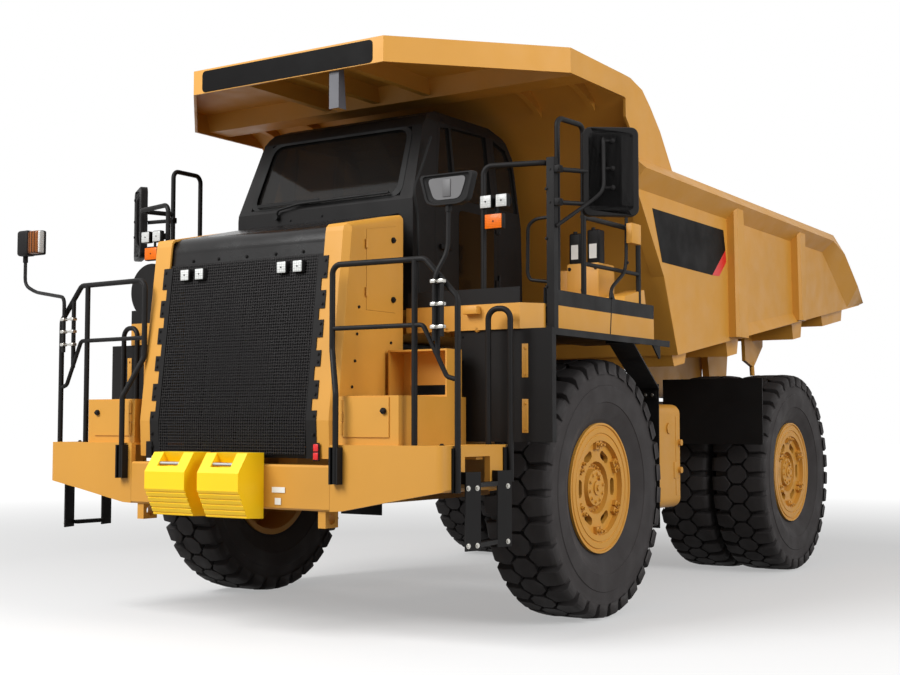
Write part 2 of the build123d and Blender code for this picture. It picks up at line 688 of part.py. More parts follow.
with BuildPart() as door_glass:
    for window in side_windows:
        side_plate(window, *wall_reach, inset=seat_gap)
    add(pane_shell.part, mode=Mode.INTERSECT)
keep("cab_door_glass", door_glass)

cab_floor = deck_top + cab_wall
with BuildPart() as cab_inside:
    slab(-230, 230, fy - 300, fy + 200, cab_floor, 2480)
    slab(-250, 250, fy - 330, fy + 180, 2480, 2620)
    side_plate(((fy + 80, 2620), (fy + 180, 2620), (fy + 270, 3250), (fy + 170, 3250)), -240, 240)
    side_plate(((fy - 1025, cab_floor), (fy - 860, cab_floor), (fy - 780, 2780), (fy - 860, 2900),
                (fy - 1025, 2930)), -600, 600)
    rod((0, fy - 830, 2720), (0, fy - 640, 2900), 28)
    with Locations(Plane(origin=(0, fy - 640, 2900), z_dir=(0, 190, 180))):
        Torus(190, 17)
        Box(370, 34, 16)
keep("cab_interior", cab_inside)

# Handrails on the wings, with their channel brackets and the hoop beside the boxes
rail_line = fy - 2010
outer_post = (wing_side + skin + rail_tube - 3, fy - 1956)
with BuildPart() as rail:
    slab(920, 990, bumper_face - 55, bumper_face - seat_gap, 1018, 1251)
    slab(932, 978, bumper_face - 60, bumper_face - 14, 1010, 1260, mode=Mode.SUBTRACT)
    bent_tube(((955, fy - 2110, 1020), (955, fy - 2110, 1590), (847, rail_line, 1870), (847, rail_line, 2420),
               (1543, fy - 1973, 2420), (*outer_post, 2170), (*outer_post, 980)), rail_tube, 60)
    rod((1470, fy - 1980, wing_top), (1470, fy - 1980, 2420), rail_tube)
    bent_tube(((847, rail_line, 2009), (1534, fy - 1980, 2009), (1700, fy - 1965, 1687),
               (*outer_post, 1666)), rail_tube - 4, 40)
    rod((1633, arm_rail_y, 1815), (1633, arm_rail_y, 2325), rail_tube - 3)
    slab(wing_side + seat_gap, wing_side + skin, fy - 1985, fy - 1895, 980, 1250)
    slab(wing_side + seat_gap, wing_side + skin, fy - 1385, fy - 1300, 1030, 1250)
    bent_tube(((outer_post[0], fy - 1332, 1030), (outer_post[0], fy - 1332, 2147), (1613, fy - 1344, 2147),
               (1613, fy - 1344, wing_top)), rail_tube, 70)
keep_both("front_handrails", rail)

# Deck handrails: front rail, tall side hoop, grab loop and toe plates, with the left mirror post
with BuildPart() as deck_rail:
    bent_tube(((1470, fy - 1170, deck_top), (1470, fy - 1170, 3130), (post_x - 20, fy - 1055, 3130),
               (hoop_x, fy - 770, 3130)), rail_tube, 60)
    bent_tube(((1470, fy - 1170, 2730), (post_x - 20, fy - 1055, 2730), (hoop_x, fy - 770, 2730)),
              rail_tube, 60)
    bent_tube(((hoop_x, fy - 770, deck_top), (hoop_x, fy - 770, 3495), (1835, fy - 430, 3500),
               (1835, fy - 430, deck_top)), rail_tube, 60)
    bent_tube(((1835, fy - 445, 2850), (1850, fy + 420, 2850), (1850, fy + 420, deck_top)), rail_tube, 80)
    rod((1835, fy - 445, 2520), (1850, fy + 420, 2520), rail_tube - 4)
    slab(hood_half + 15, 1790, deck_front, deck_front + 6, deck_top, deck_top + 105)
    slab(deck_edge - 6, deck_edge, fy - 1090, deck_rear, deck_top, deck_top + 105)
with BuildPart() as deck_rails:
    add(deck_rail.part)
    mirror(deck_rail.part, about=Plane.YZ)
    slab(post_x - 28, post_x + 28, fy - 1078, fy - 1022, deck_bottom, 3160)
    slab(deck_edge, post_x - 28, fy - 1070, fy - 1030, deck_bottom + 40, deck_top - 20)
keep("deck_handrails", deck_rails)

# Door mirrors on the outer posts
housing_depth = 70
with BuildPart() as big_mirror:
    mirror_plane = Plane(origin=(half_width - 178, fy - 750, 2780), x_dir=(0.809, 0.588, 0))
    with BuildSketch(mirror_plane) as housing:
        RectangleRounded(375, housing_depth, 28)
    extrude(housing.sketch, amount=600)
    with BuildSketch(mirror_plane.offset(20)) as mirror_recess:
        with Locations((0, housing_depth / 2)):
            Rectangle(335, 16)
    extrude(mirror_recess.sketch, amount=560, mode=Mode.SUBTRACT)
with BuildPart() as mirrors:
    add(big_mirror.part)
    mirror(big_mirror.part, about=Plane.YZ)
    for side, foot_x, foot_y in ((1, post_x + 28, fy - 1050), (-1, hoop_x + rail_tube, fy - 770)):
        for arm_z in (2860, 3080):
            x0, x1 = sorted((side * (foot_x + seat_gap), side * (foot_x + 34)))
            slab(x0, x1, foot_y - 20, foot_y + 20, arm_z - 22, arm_z + 22)
            rod((side * (foot_x + 18), foot_y, arm_z), (side * (half_width - 260), fy - 810, arm_z), 16)

# Small front mirror on the left rail and corner lamp arm on the right rail, kept with the door mirrors
with BuildPart() as all_mirrors:
    add(mirrors.part)
    with BuildSketch(Plane.XZ.offset(-(fy - 1985))) as mirror_face:
        with BuildLine():
            Polyline((1500, 2938), (1910, 2938), (1860, 2760), (1800, 2738), (1610, 2738), (1550, 2760),
                     close=True)
        make_face()
        fillet(mirror_face.vertices(), 22)
    extrude(mirror_face.sketch, amount=-62)
    clamp_y = arm_rail_y - 2 * rail_tube
    bent_tube(((1633, clamp_y, 1905), (1633, clamp_y, 2300), (1705, fy - 1960, 2460),
               (1705, fy - 1954, 2760)), stem_tube, 50)
    bent_tube(((-1633, clamp_y, 1905), (-1700, clamp_y, 2330), (-half_width + 160, fy - 1830, 2420),
               (-half_width + 30, fy - 1830, 2480), (-half_width + 30, fy - 1830, 2720)), stem_tube, 50)
    for clamp_z in (1990, 2130, 2270):
        for side in (-1, 1):
            reach = 0 if side > 0 else (clamp_z - 1905) / 425 * 67
            x0, x1 = sorted((side * 1615, side * (1651 + reach)))
            slab(x0, x1, clamp_y - 16, arm_rail_y - rail_tube + 3 - seat_gap, clamp_z - 12, clamp_z + 12)
    with BuildSketch(Plane.XY.offset(2700)) as lamp_outline:
        with Locations((-half_width + 125, fy - 1830)):
            RectangleRounded(250, 130, 50)
    extrude(lamp_outline.sketch, amount=185, taper=-6)
keep("mirrors", all_mirrors)

# Lamps: headlamps in the grille and a cluster between the deck rail's posts
with BuildPart() as lamps:
    slab(1450, 1715, fy - 1195 - seat_gap, fy - 1189 - seat_gap, 2685, 2935)
    for lamp_x, lamp_z, width, height in ((1528, 2875, 92, 92), (1650, 2875, 92, 92), (1588, 2740, 140, 106)):
        slab(lamp_x - width / 2, lamp_x + width / 2, fy - 1240, fy - 1190, lamp_z - height / 2,
             lamp_z + height / 2)
    for lamp_x in (373, 511):
        slab(lamp_x - 42, lamp_x + 42, fy - 1962, nose_y(2398) + 18 - seat_gap, 2398, 2482)
keep_both("lamps", lamps)

# Tanks, mud flaps, rear guards and the air cleaner
with BuildPart() as fuel_tank:
    slab(rail_outer, 1550, fy + 1320, fy + 1860, 700, 1560)
    fillet(fuel_tank.edges().filter_by(Axis.Y).group_by(Axis.X)[-1], 80)
    fillet(fuel_tank.edges().filter_by(Axis.X), 40)
    for cap_z in (1010, 1240):
        rod((1545, fy + 1800, cap_z), (1580, fy + 1800, cap_z), 26)
keep("fuel_tank", fuel_tank)

with BuildPart() as oil_tank:
    slab(-1450, -rail_outer, fy + 1320, fy + 1860, 760, 1500)
    fillet(oil_tank.edges().filter_by(Axis.Y).group_by(Axis.X)[0], 80)
    fillet(oil_tank.edges().filter_by(Axis.X), 40)
    rod((-1200, fy + 1590, 1490), (-1200, fy + 1590, 1540), 60)
keep("hydraulic_tank", oil_tank)

flap_y = fy + 1262
guard_y = ry - 1060
with BuildPart() as guards:
    slab(1150, 1620, flap_y, flap_y + 8, 560, 1720)
    slab(1150, 1500, flap_y + 8, fy + 1320 - seat_gap, 1440, 1480)
    slab(1420, 1600, flap_y - 10, flap_y + 18, 1600, 1664)
    with BuildSketch(Plane(origin=(1525, flap_y - 4, 1690), x_dir=(1, 0, 0),
                           z_dir=(325, -1155, 313))) as arm:
        Rectangle(190, 12)
    arm_run = Vector(325, -1155, 313)
    extrude(arm.sketch, amount=arm_run.length)
    slab(1700, 2000, fy - 100, fy + 300, deck_bottom - 15 - seat_gap, deck_bottom + 100, mode=Mode.SUBTRACT)
    slab(1755, 1945, fy + 60, fy + 130, 1985, deck_bottom - 15 - seat_gap)
    slab(910, 1880, guard_y, guard_y + 10, 1210, 1810)
    slab(735, 925, guard_y, guard_y + 10, 1210, 1520)
    slab(735, 750, guard_y, fy + 3140, 1300, 1500)
    slab(rail_outer, 750, fy + 3110, fy + 3140, 1300, 1500)
keep_both("mudguards", guards)

with BuildPart() as air_cleaner:
    rod((-1690, fy - 1132, 2456), (-1690, fy - 810, 2456), 222)
    rod((-1690, fy - 1140, 2456), (-1690, fy - 1130, 2456), 205)
    slab(-1735, -1645, fy - 1000, fy - 940, deck_top, 2260)
keep("air_cleaner", air_cleaner)


def floor_z(y):
    """Give the underside of the body floor at this y."""
    slope = (tail_tip[1] - floor_front[1]) / (tail_tip[0] - floor_front[0])
    return floor_front[1] + slope * (y - floor_front[0])


# Dump body: two side sheets, the floor, and the headboard that curves into the canopy
side_top = ((fy + 5260, 3378), (fy + 1170, 3427))
side_crown = (
    (fy + 948, 3704), (fy + 767, 3869), (fy + 624, 3975), (fy + 414, 4027), (split_y + seat_gap, 4029),
)
side_brow = ((split_y + seat_gap, 3716), (fy + 406, 3638), (fy + 536, 3159), (fy + 1012, 2532))
with BuildPart() as tub:
    side_plate((floor_front, tail_tip, *side_top, *side_crown, *side_brow), -body_half, body_half)
    side_plate((floor_front, tail_tip, *side_top, *side_crown, *side_brow), -body_half + body_wall,
               body_half - body_wall, mode=Mode.SUBTRACT)
    side_plate((floor_front, tail_tip, (tail_tip[0], tail_tip[1] + body_wall),
                (floor_front[0], floor_front[1] + body_wall)), -body_half + 1, body_half - 1)
    with BuildSketch(Plane.YZ.offset(-body_half + 1)) as headboard:
        with BuildLine():
            Line(floor_front, (fy + 620, 3450))
            ThreePointArc((fy + 620, 3450), (fy + 520, 3665), (split_y + seat_gap, 3850))
            Line((split_y + seat_gap, 3850), (split_y + seat_gap, 3875))
            ThreePointArc((split_y + seat_gap, 3875), (fy + 538, 3680), (fy + 641, 3458))
            Line((fy + 641, 3458), (floor_front[0] + 22, floor_front[1] + 8))
            Line((floor_front[0] + 22, floor_front[1] + 8), floor_front)
        make_face()
    extrude(headboard.sketch, amount=2 * (body_half - 1))
    for side in (-1, 1):
        x0, x1 = sorted((side * (body_half - 110), side * (body_half - 2)))
        side_plate(((fy + 406, 3638), (fy + 536, 3159), (fy + 548, 3165), (fy + 418, 3644)), x0, x1)
        side_plate(((fy + 536, 3159), (fy + 1012, 2532), (fy + 1020, 2545), (fy + 548, 3165)), x0, x1)
keep("body_tub", tub)

# Canopy: a sheet with boards round its edge, a cross beam and curved ribs down the headboard
canopy_plan = (
    (-canopy_nose_half, canopy_front), (canopy_nose_half, canopy_front), (body_half, canopy_corner),
    (body_half, split_y), (-body_half, split_y), (-body_half, canopy_corner),
)
board_low = canopy_top - canopy_board
with BuildPart() as canopy:
    plan_plate(canopy_plan, board_low, canopy_top)
    with BuildSketch(Plane.XY.offset(board_low)) as canopy_room:
        with BuildLine():
            Polyline((-canopy_nose_half + 9, canopy_front + 20), (canopy_nose_half - 9, canopy_front + 20),
                     (body_half - 20, canopy_corner + 9), (body_half - 20, split_y),
                     (-body_half + 20, split_y), (-body_half + 20, canopy_corner + 9), close=True)
        make_face()
    extrude(canopy_room.sketch, amount=canopy_board - 15, mode=Mode.SUBTRACT)
    side_plate((
        (fy - 2000, 4060), (fy - 2000, board_low), (fy - 540, board_low), (fy - 87, 3851), (fy + 107, 3816),
        (fy + 239, 3782), (split_y, 3716), (split_y, 3600), (fy + 1000, 3600), (fy + 1000, 4029),
        (fy + 414, 4029), (fy - 544, canopy_top), (fy - 544, 4060),
    ), -body_half - 10, body_half + 10, mode=Mode.INTERSECT)
    with BuildSketch(Plane.YZ.offset(-body_half + 1)) as canopy_curve:
        with BuildLine():
            Line((split_y, 3850), (split_y, 3875))
            ThreePointArc((split_y, 3875), (fy + 215, 3955), (fy + 60, 4024))
            Line((fy + 60, 4024), (fy + 20, 4024))
            ThreePointArc((fy + 20, 4024), (fy + 195, 3940), (split_y, 3850))
        make_face()
    extrude(canopy_curve.sketch, amount=2 * (body_half - 1))
    side_plate(((fy - 420, 4030), (fy - 380, 3885), (fy - 150, 3885), (fy - 110, 4030)), -body_half + 1,
               body_half - 1)
    for rib_x in (-480, 0, 480):
        side_plate(((canopy_front + 10, 4030), (canopy_front + 10, 3900), (fy - 400, 3900), (fy - 400, 4030)),
                   rib_x - 30, rib_x + 30)
    side_plate(((fy - 1480, 3900), (fy - 1480, 3600), (fy - 1400, 3600), (fy - 1430, 3900)), 395, 475)
    for rib_x in (-1515, -1050, 1050, 1515):
        with BuildSketch(Plane.YZ.offset(rib_x - 25)) as rib:
            with BuildLine():
                Line((fy - 130, 4028), (fy - 130, 3925))
                ThreePointArc((fy - 130, 3925), (fy + 150, 3890), (split_y, 3790))
                Line((split_y, 3790), (split_y, 3860))
                ThreePointArc((split_y, 3860), (fy + 200, 3945), (fy + 30, 4028))
                Line((fy + 30, 4028), (fy - 130, 4028))
            make_face()
        extrude(rib.sketch, amount=50)
keep("body_canopy", canopy)

# Top rails: a ridge along each side that runs down the tail
rail_sections = (
    # y, foot z, top z, ridge z, ridge x
    (fy + 420, 3195, 3435, 3327, 1920),
    (fy + 4889, 3159, 3383, 3268, 1920),
    (fy + 5259, 2924, 3378, 3170, 1920),
    (fy + 5693, 2648, 3054, 2870, 1920),
    (fy + 6110, 2702, 2742, 2722, 1850),
)
with BuildPart() as top_rail:
    for y, foot_z, top_z, ridge_z, ridge_x in rail_sections:
        with BuildSketch(Plane.XZ.offset(-y)):
            with BuildLine():
                Polyline((body_half + seat_gap, foot_z), (body_half + seat_gap, top_z), (ridge_x, ridge_z),
                         close=True)
            make_face()
    loft(ruled=True)
keep_both("body_top_rails", top_rail)

# Side ribs with the flared sill between them
ribs_table = (
    # top front y, top rear y, bottom rear y, bottom front y, bottom z
    (fy + 2305, fy + 2493, fy + 2592, fy + 2331, 2150),
    (fy + 3930, fy + 4130, fy + 4120, fy + 3970, 2400),
)
rib_head = 3290
with BuildPart() as ribs:
    for front_top, rear_top, rear_low, front_low, low_z in ribs_table:
        side_plate(((front_top, rib_head), (rear_top, rib_head), (rear_low, low_z), (front_low, low_z)),
                   body_half, body_half + 90)
    chamfer(ribs.edges().group_by(Axis.X)[-1].filter_by(Axis.Y, reverse=True), 24)
    with BuildSketch(Plane.XZ.offset(-(fy + 2560))):
        with BuildLine():
            Polyline((body_half, 2155), (body_half, 2270), (body_half + 50, 2160), close=True)
        make_face()
    with BuildSketch(Plane.XZ.offset(-(fy + 3990))):
        with BuildLine():
            Polyline((body_half, 2366), (body_half, 2470), (body_half + 50, 2385), close=True)
        make_face()
    loft(ruled=True)
    add(top_rail.part, mode=Mode.SUBTRACT)
keep_both("body_ribs", ribs)

def bolster(front_y, rear_y, depth, inner):
    """Add half a cross bolster under the floor, its front and rear faces leaning in."""
    side_plate(((front_y, floor_z(front_y)), (front_y + 40, floor_z(front_y + 40) - depth),
                (rear_y - 40, floor_z(rear_y - 40) - depth), (rear_y, floor_z(rear_y))),
               inner, body_half - 60)


# Bearers under the floor, with the rear bolster, the pivot ears and the hoist lugs
lug_link = 745
with BuildPart() as half_bearer:
    side_plate(((fy + 1650, bearer_bottom), (fy + 4850, bearer_bottom), (fy + 4850, floor_z(fy + 4850)),
                (fy + 1650, floor_z(fy + 1650))), bearer_inner, bearer_outer)
    bolster(fy + 5000, fy + 5700, 125, 0)
    slab(bearer_outer - 5, lug_link, fy + 2690, fy + 2705, 2020, floor_z(fy + 2690))
    ear_inner = rail_outer + side_gap
    ear_outer = ear_inner + ear_thickness
    side_plate(((tip_y - 250, tip_z - 60), (tip_y - 60, tip_z - 150), (tip_y + 60, tip_z - 150),
                (tip_y + 150, tip_z - 60), (tip_y + 300, floor_z(tip_y + 300)),
                (tip_y - 400, floor_z(tip_y - 400))), ear_inner, ear_outer)
    rod((ear_inner - 5, tip_y, tip_z), (ear_outer + 5, tip_y, tip_z), pin_radius + pin_gap,
        mode=Mode.SUBTRACT)
    lug = ((hoist_head[0] - 90, floor_z(hoist_head[0] - 90)), (hoist_head[0] - 60, hoist_head[1] - 60),
           (hoist_head[0] + 60, hoist_head[1] - 60), (hoist_head[0] + 90, floor_z(hoist_head[0] + 90)))
    side_plate(lug, hoist_x - hoist_fork - fork_plate, hoist_x - hoist_fork)
    side_plate(lug, hoist_x + hoist_fork, hoist_x + hoist_fork + fork_plate)
    rod((hoist_x - hoist_fork - fork_plate, *hoist_head), (hoist_x + hoist_fork + fork_plate, *hoist_head),
        head_pin_radius)
with BuildPart() as bearers:
    add(half_bearer.part)
    mirror(half_bearer.part, about=Plane.YZ)
keep("body_bearers", bearers)

# Cross bolsters between and beside the bearers, with a rock ejector over each pair of tyres
bolsters = (
    # front y, rear y, depth, inner x
    (fy + 1262, fy + 1550, 95, 0),
    (fy + 2400, fy + 2700, 145, lug_link),
    (fy + 4100, fy + 4400, 170, 0),
)
with BuildPart() as half_bolster:
    for row in bolsters:
        bolster(*row)
    ejector_x = (outer_x + inner_x) / 2
    side_plate(((fy + 3930, floor_z(fy + 3930)), (fy + 3960, 2020), (fy + 4180, 1960), (fy + 4440, 2180),
                (fy + 4450, floor_z(fy + 4450))), ejector_x - 18, ejector_x + 18)
    rod((ejector_x, fy + 4170, 2010), (ejector_x, fy + 4190, 1880), 24)
with BuildPart() as cross_bolsters:
    add(half_bolster.part)
    mirror(half_bolster.part, about=Plane.YZ)
    add(bearers.part, mode=Mode.SUBTRACT)
keep("body_bolsters", cross_bolsters)

with BuildPart() as pads:
    for side in (-1, 1):
        x0, x1 = sorted((side * bearer_inner, side * bearer_outer))
        for pad_y in (fy + 2500, fy + 3300):
            slab(x0, x1, pad_y, pad_y + 300, rail_rear_top, bearer_bottom - seat_gap)
keep("body_pads", pads)

# Hoist cylinders, upright between the rails and the tyres
hoist_foot_pt = Vector(hoist_x, *hoist_foot)
hoist_head_pt = Vector(hoist_x, *hoist_head)
hoist_axis = (hoist_head_pt - hoist_foot_pt).normalized()
hoist_length = (hoist_head_pt - hoist_foot_pt).length


def along(distance):
    """Give the point on the hoist axis at this distance from its foot pin."""
    point = hoist_foot_pt + hoist_axis * distance
    return (point.X, point.Y, point.Z)


eye_half = hoist_fork - side_gap
with BuildPart() as barrel:
    rod(along(60), along(hoist_length - 125), barrel_radius)
    rod(along(120), along(hoist_length), outer_sleeve_radius + pin_gap, mode=Mode.SUBTRACT)
    rod((hoist_x - eye_half, *hoist_foot), (hoist_x + eye_half, *hoist_foot), eye_radius)
    rod((hoist_x - hoist_fork, *hoist_foot), (hoist_x + hoist_fork, *hoist_foot), foot_pin_radius + pin_gap,
        mode=Mode.SUBTRACT)
keep_pair("hoist_barrel", barrel)

with BuildPart() as outer_sleeve:
    rod(along(130), along(hoist_length - 115), outer_sleeve_radius)
    rod(along(140), along(hoist_length), inner_sleeve_radius + pin_gap, mode=Mode.SUBTRACT)
keep_pair("hoist_outer_sleeve", outer_sleeve)

with BuildPart() as inner_sleeve:
    rod(along(145), along(hoist_length - 105), inner_sleeve_radius)
    rod(along(155), along(hoist_length), rod_radius + pin_gap, mode=Mode.SUBTRACT)
keep_pair("hoist_inner_sleeve", inner_sleeve)

eye_drift = 42
with BuildPart() as piston:
    rod(along(160), along(hoist_length - 80), rod_radius)
    rod((hoist_x - eye_half, *hoist_head), (hoist_x + eye_half, *hoist_head), eye_radius - 3)
    rod((hoist_x - hoist_fork, *hoist_head), (hoist_x + hoist_fork, *hoist_head), head_pin_radius + eye_drift,
        mode=Mode.SUBTRACT)
keep_pair("hoist_rod", piston)
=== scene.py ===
import json
import math
import bmesh
import bpy
from bpy.props import FloatProperty, FloatVectorProperty, IntProperty, PointerProperty
from mathutils import Matrix, Vector


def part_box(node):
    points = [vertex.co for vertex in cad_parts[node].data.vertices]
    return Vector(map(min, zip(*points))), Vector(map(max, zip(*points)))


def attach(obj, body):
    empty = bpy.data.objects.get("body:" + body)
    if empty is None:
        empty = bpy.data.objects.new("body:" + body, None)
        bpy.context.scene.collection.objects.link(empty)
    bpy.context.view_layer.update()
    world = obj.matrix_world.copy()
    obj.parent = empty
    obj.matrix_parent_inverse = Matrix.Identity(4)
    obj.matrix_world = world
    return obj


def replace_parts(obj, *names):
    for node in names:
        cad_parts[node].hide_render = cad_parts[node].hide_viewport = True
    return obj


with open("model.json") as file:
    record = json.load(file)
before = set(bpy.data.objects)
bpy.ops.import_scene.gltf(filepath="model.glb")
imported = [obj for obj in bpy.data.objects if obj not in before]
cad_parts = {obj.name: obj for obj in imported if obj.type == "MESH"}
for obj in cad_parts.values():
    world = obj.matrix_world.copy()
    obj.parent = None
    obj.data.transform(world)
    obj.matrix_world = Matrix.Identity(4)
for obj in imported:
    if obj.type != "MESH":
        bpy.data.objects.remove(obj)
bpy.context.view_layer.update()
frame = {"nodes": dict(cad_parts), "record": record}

bl_info = {
    "name": "Mining dump truck looks",
    "version": (1, 0, 0),
    "blender": (4, 5, 0),
    "location": "3D View > Sidebar > Truck",
    "description": "Builds the visible surfaces of the mining dump truck around its CAD frame",
    "category": "Object",
}

TURN = 2 * math.pi
SIDES = (("left", 1), ("right", -1))
CROWN = 0.935  # radius over the tyres' lugs
LIFT = 0.0005  # how far a flat sheet stands off the CAD face under it


def middle(node):
    """Give the middle of a CAD node's box."""
    low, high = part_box(node)
    return (Vector(low) + Vector(high)) / 2


FRONT_WHEEL = middle("front_tyre_left")
REAR_WHEELS = middle("rear_rim_left")


def at(x, y, z):
    """Place a point, its y counted from the front axle."""
    return Vector((x, FRONT_WHEEL.y + y, z))


def in_linear(red, green, blue):
    """Turn a screen colour of 0 to 255 into the renderer's linear values."""
    return tuple((c / 255 / 12.92) if c <= 10 else ((c / 255 + 0.055) / 1.055) ** 2.4
                 for c in (red, green, blue))


class TruckPaint(bpy.types.PropertyGroup):
    """Colours and finish of the truck's materials."""

    yellow: FloatVectorProperty(
        name="Body yellow", description="Main paint colour", subtype="COLOR", size=3,
        min=0, max=1, default=in_linear(200, 143, 55))
    yellow_rough: FloatProperty(
        name="Paint roughness", description="How matt the yellow paint is", min=0.05, max=1,
        default=0.5, subtype="FACTOR")
    black: FloatVectorProperty(
        name="Trim black", description="Colour of the black painted parts", subtype="COLOR", size=3,
        min=0, max=1, default=in_linear(24, 23, 23))
    rubber: FloatVectorProperty(
        name="Tyre rubber", description="Colour of the tyres", subtype="COLOR", size=3,
        min=0, max=1, default=in_linear(56, 53, 53))


class TruckTyre(bpy.types.PropertyGroup):
    """Shape of the tyres."""

    lugs: IntProperty(name="Lugs", description="Lugs round each shoulder", min=8, max=64, default=32)
    crown: FloatProperty(
        name="Crown radius", description="Radius over the lugs", unit="LENGTH", min=0.3, max=2, default=CROWN)
    groove: FloatProperty(
        name="Groove depth", description="Depth of the tread's grooves", unit="LENGTH", min=0.01, max=0.08,
        default=0.046)


class TruckStage(bpy.types.PropertyGroup):
    """Camera, floor and light."""

    camera_place: FloatVectorProperty(
        name="Camera place", description="Where the camera stands", subtype="TRANSLATION", unit="LENGTH",
        size=3, default=(6.304, -10.826, 1.403))
    camera_turn: FloatProperty(
        name="Camera turn", description="Turn of the view to the truck's right", subtype="ANGLE",
        unit="ROTATION", default=math.radians(33.35))
    camera_tilt: FloatProperty(
        name="Camera tilt", description="Upward tilt of the view", subtype="ANGLE", unit="ROTATION",
        default=math.radians(3.58))
    lens: FloatProperty(
        name="Lens", description="Focal length on a 36 mm wide sensor", min=10, max=200, default=54.76)
    floor_size: FloatProperty(
        name="Floor size", description="Side of the floor", unit="LENGTH", min=10, max=400, default=160)
    sky: FloatProperty(
        name="Sky light", description="Strength of the even light", min=0, max=5, default=0.30)
    key: FloatProperty(
        name="Key light", description="Power of the main softbox", unit="POWER", min=0, max=20000,
        default=2350)


# Materials

DRIFT_SCALE, SHINE_SCALE = 1.7, 6.0  # how closely the colour and the roughness vary
CLOUD_LOW, CLOUD_HIGH = 0.3, 0.7  # the part of the noise that is used
GRAIN_HEIGHT = 0.002
MESH_PITCH = 50  # holes of the grille's mesh in a metre
SIDE_WALL_END, TREAD_START = 0.84, 0.885  # radii between which a tyre darkens
TREAD_SHADE = 0.62


def feed(tree, node, *in_order, **by_name):
    """Feed a node's inputs, in order or by name with underlines for blanks, with values or sockets."""
    for key, value in [*enumerate(in_order), *by_name.items()]:
        socket = node.inputs[key.replace("_", " ") if isinstance(key, str) else key]
        if isinstance(value, bpy.types.NodeSocket):
            tree.links.new(value, socket)
        else:
            socket.default_value = value
    return node


def added(tree, kind, *in_order, operation=None, **by_name):
    """Add a node and feed its inputs."""
    made = tree.nodes.new(kind)
    if operation:
        made.operation = operation
    return feed(tree, made, *in_order, **by_name)


def own_place(tree):
    """Give the socket of the object's own coordinates."""
    return tree.nodes.new("ShaderNodeTexCoord").outputs["Object"]


def shader_of(material):
    """Give a material's tree and its main shader."""
    return material.node_tree, material.node_tree.nodes["Principled BSDF"]


def mixed(tree, factor, low, high):
    """Blend two colours by a factor socket and give the result's socket."""
    blend = tree.nodes.new("ShaderNodeMix")
    blend.data_type = "RGBA"
    return feed(tree, blend, Factor=factor, A=(*low, 1), B=(*high, 1)).outputs["Result"]


def ranged(tree, value, low, high, to_low=0.0, to_high=1.0):
    """Stretch a value socket from one range to another."""
    return added(tree, "ShaderNodeMapRange", Value=value, From_Min=low, From_Max=high, To_Min=to_low,
                 To_Max=to_high).outputs["Result"]


def clouds(tree, scale, detail=3.0):
    """Give a noise socket that follows the object's own coordinates."""
    noise = added(tree, "ShaderNodeTexNoise", Vector=own_place(tree), Scale=scale, Detail=detail)
    return noise.outputs["Fac"]


def finish(name, colour, rough, spread=0.12, gloss=0.5, metallic=0.0, grain=0.0, grain_scale=300.0):
    """Make a material whose colour drifts a little and whose surface may be grained."""
    material = bpy.data.materials.new(name)
    material.use_nodes = True
    tree, shader = shader_of(material)
    drift = ranged(tree, clouds(tree, DRIFT_SCALE), CLOUD_LOW, CLOUD_HIGH)
    darker = [c * (1 - spread) for c in colour]
    lighter = [min(1, c * (1 + spread)) for c in colour]
    shine = ranged(tree, clouds(tree, SHINE_SCALE), CLOUD_LOW, CLOUD_HIGH, rough * 0.85, rough * 1.15)
    feed(tree, shader, Base_Color=mixed(tree, drift, darker, lighter), Roughness=shine, Metallic=metallic,
         Specular_IOR_Level=gloss)
    if grain:
        bump = added(tree, "ShaderNodeBump", Strength=grain, Distance=GRAIN_HEIGHT,
                     Height=clouds(tree, grain_scale, 2.0))
        feed(tree, shader, Normal=bump.outputs["Normal"])
    return material


def lens_finish(name, colour, rough, cells):
    """Make a lamp lens with a fine pattern of cells."""
    material = finish(name, colour, rough, 0.0, 0.2)
    tree, shader = shader_of(material)
    pattern = added(tree, "ShaderNodeTexVoronoi", Vector=own_place(tree), Scale=cells, Randomness=0.15)
    shade = ranged(tree, pattern.outputs["Distance"], 0.0, 0.6)
    dark = [c * 0.55 for c in colour]
    feed(tree, shader, Base_Color=mixed(tree, shade, colour, dark), Coat_Weight=0.08)
    return material


def glass_finish():
    """Make the dark tinted cab glass."""
    material = bpy.data.materials.new("cab glass")
    material.use_nodes = True
    feed(*shader_of(material), Base_Color=(0.012, 0.011, 0.010, 1), Roughness=0.06, Alpha=0.62, IOR=1.45)
    return material


def mesh_finish():
    """Make the grille's fine mesh: a staggered net whose holes hold a half see-through near-black sheet of
    painted shade.
    """
    material = finish("grille mesh", in_linear(30, 29, 29), 0.5, 0.05, 0.1)
    tree, shader = shader_of(material)
    flat = added(tree, "ShaderNodeMapping", Vector=own_place(tree), Scale=(1, 0, 1))
    holes = added(tree, "ShaderNodeTexVoronoi", Vector=flat.outputs["Vector"], Scale=MESH_PITCH,
                  Randomness=0.0)
    rim = ranged(tree, holes.outputs["Distance"], 0.40, 0.46)
    # The holes are painted shade: a near-black sheet, 45% opaque at their middle, over the slats behind.
    hole_shade_colour, wire_colour = (0.0005, 0.0005, 0.0005), in_linear(40, 38, 38)
    feed(tree, shader, Base_Color=mixed(tree, rim, hole_shade_colour, wire_colour),
         Alpha=ranged(tree, rim, 0.0, 1.0, 0.45, 1.0))
    return material


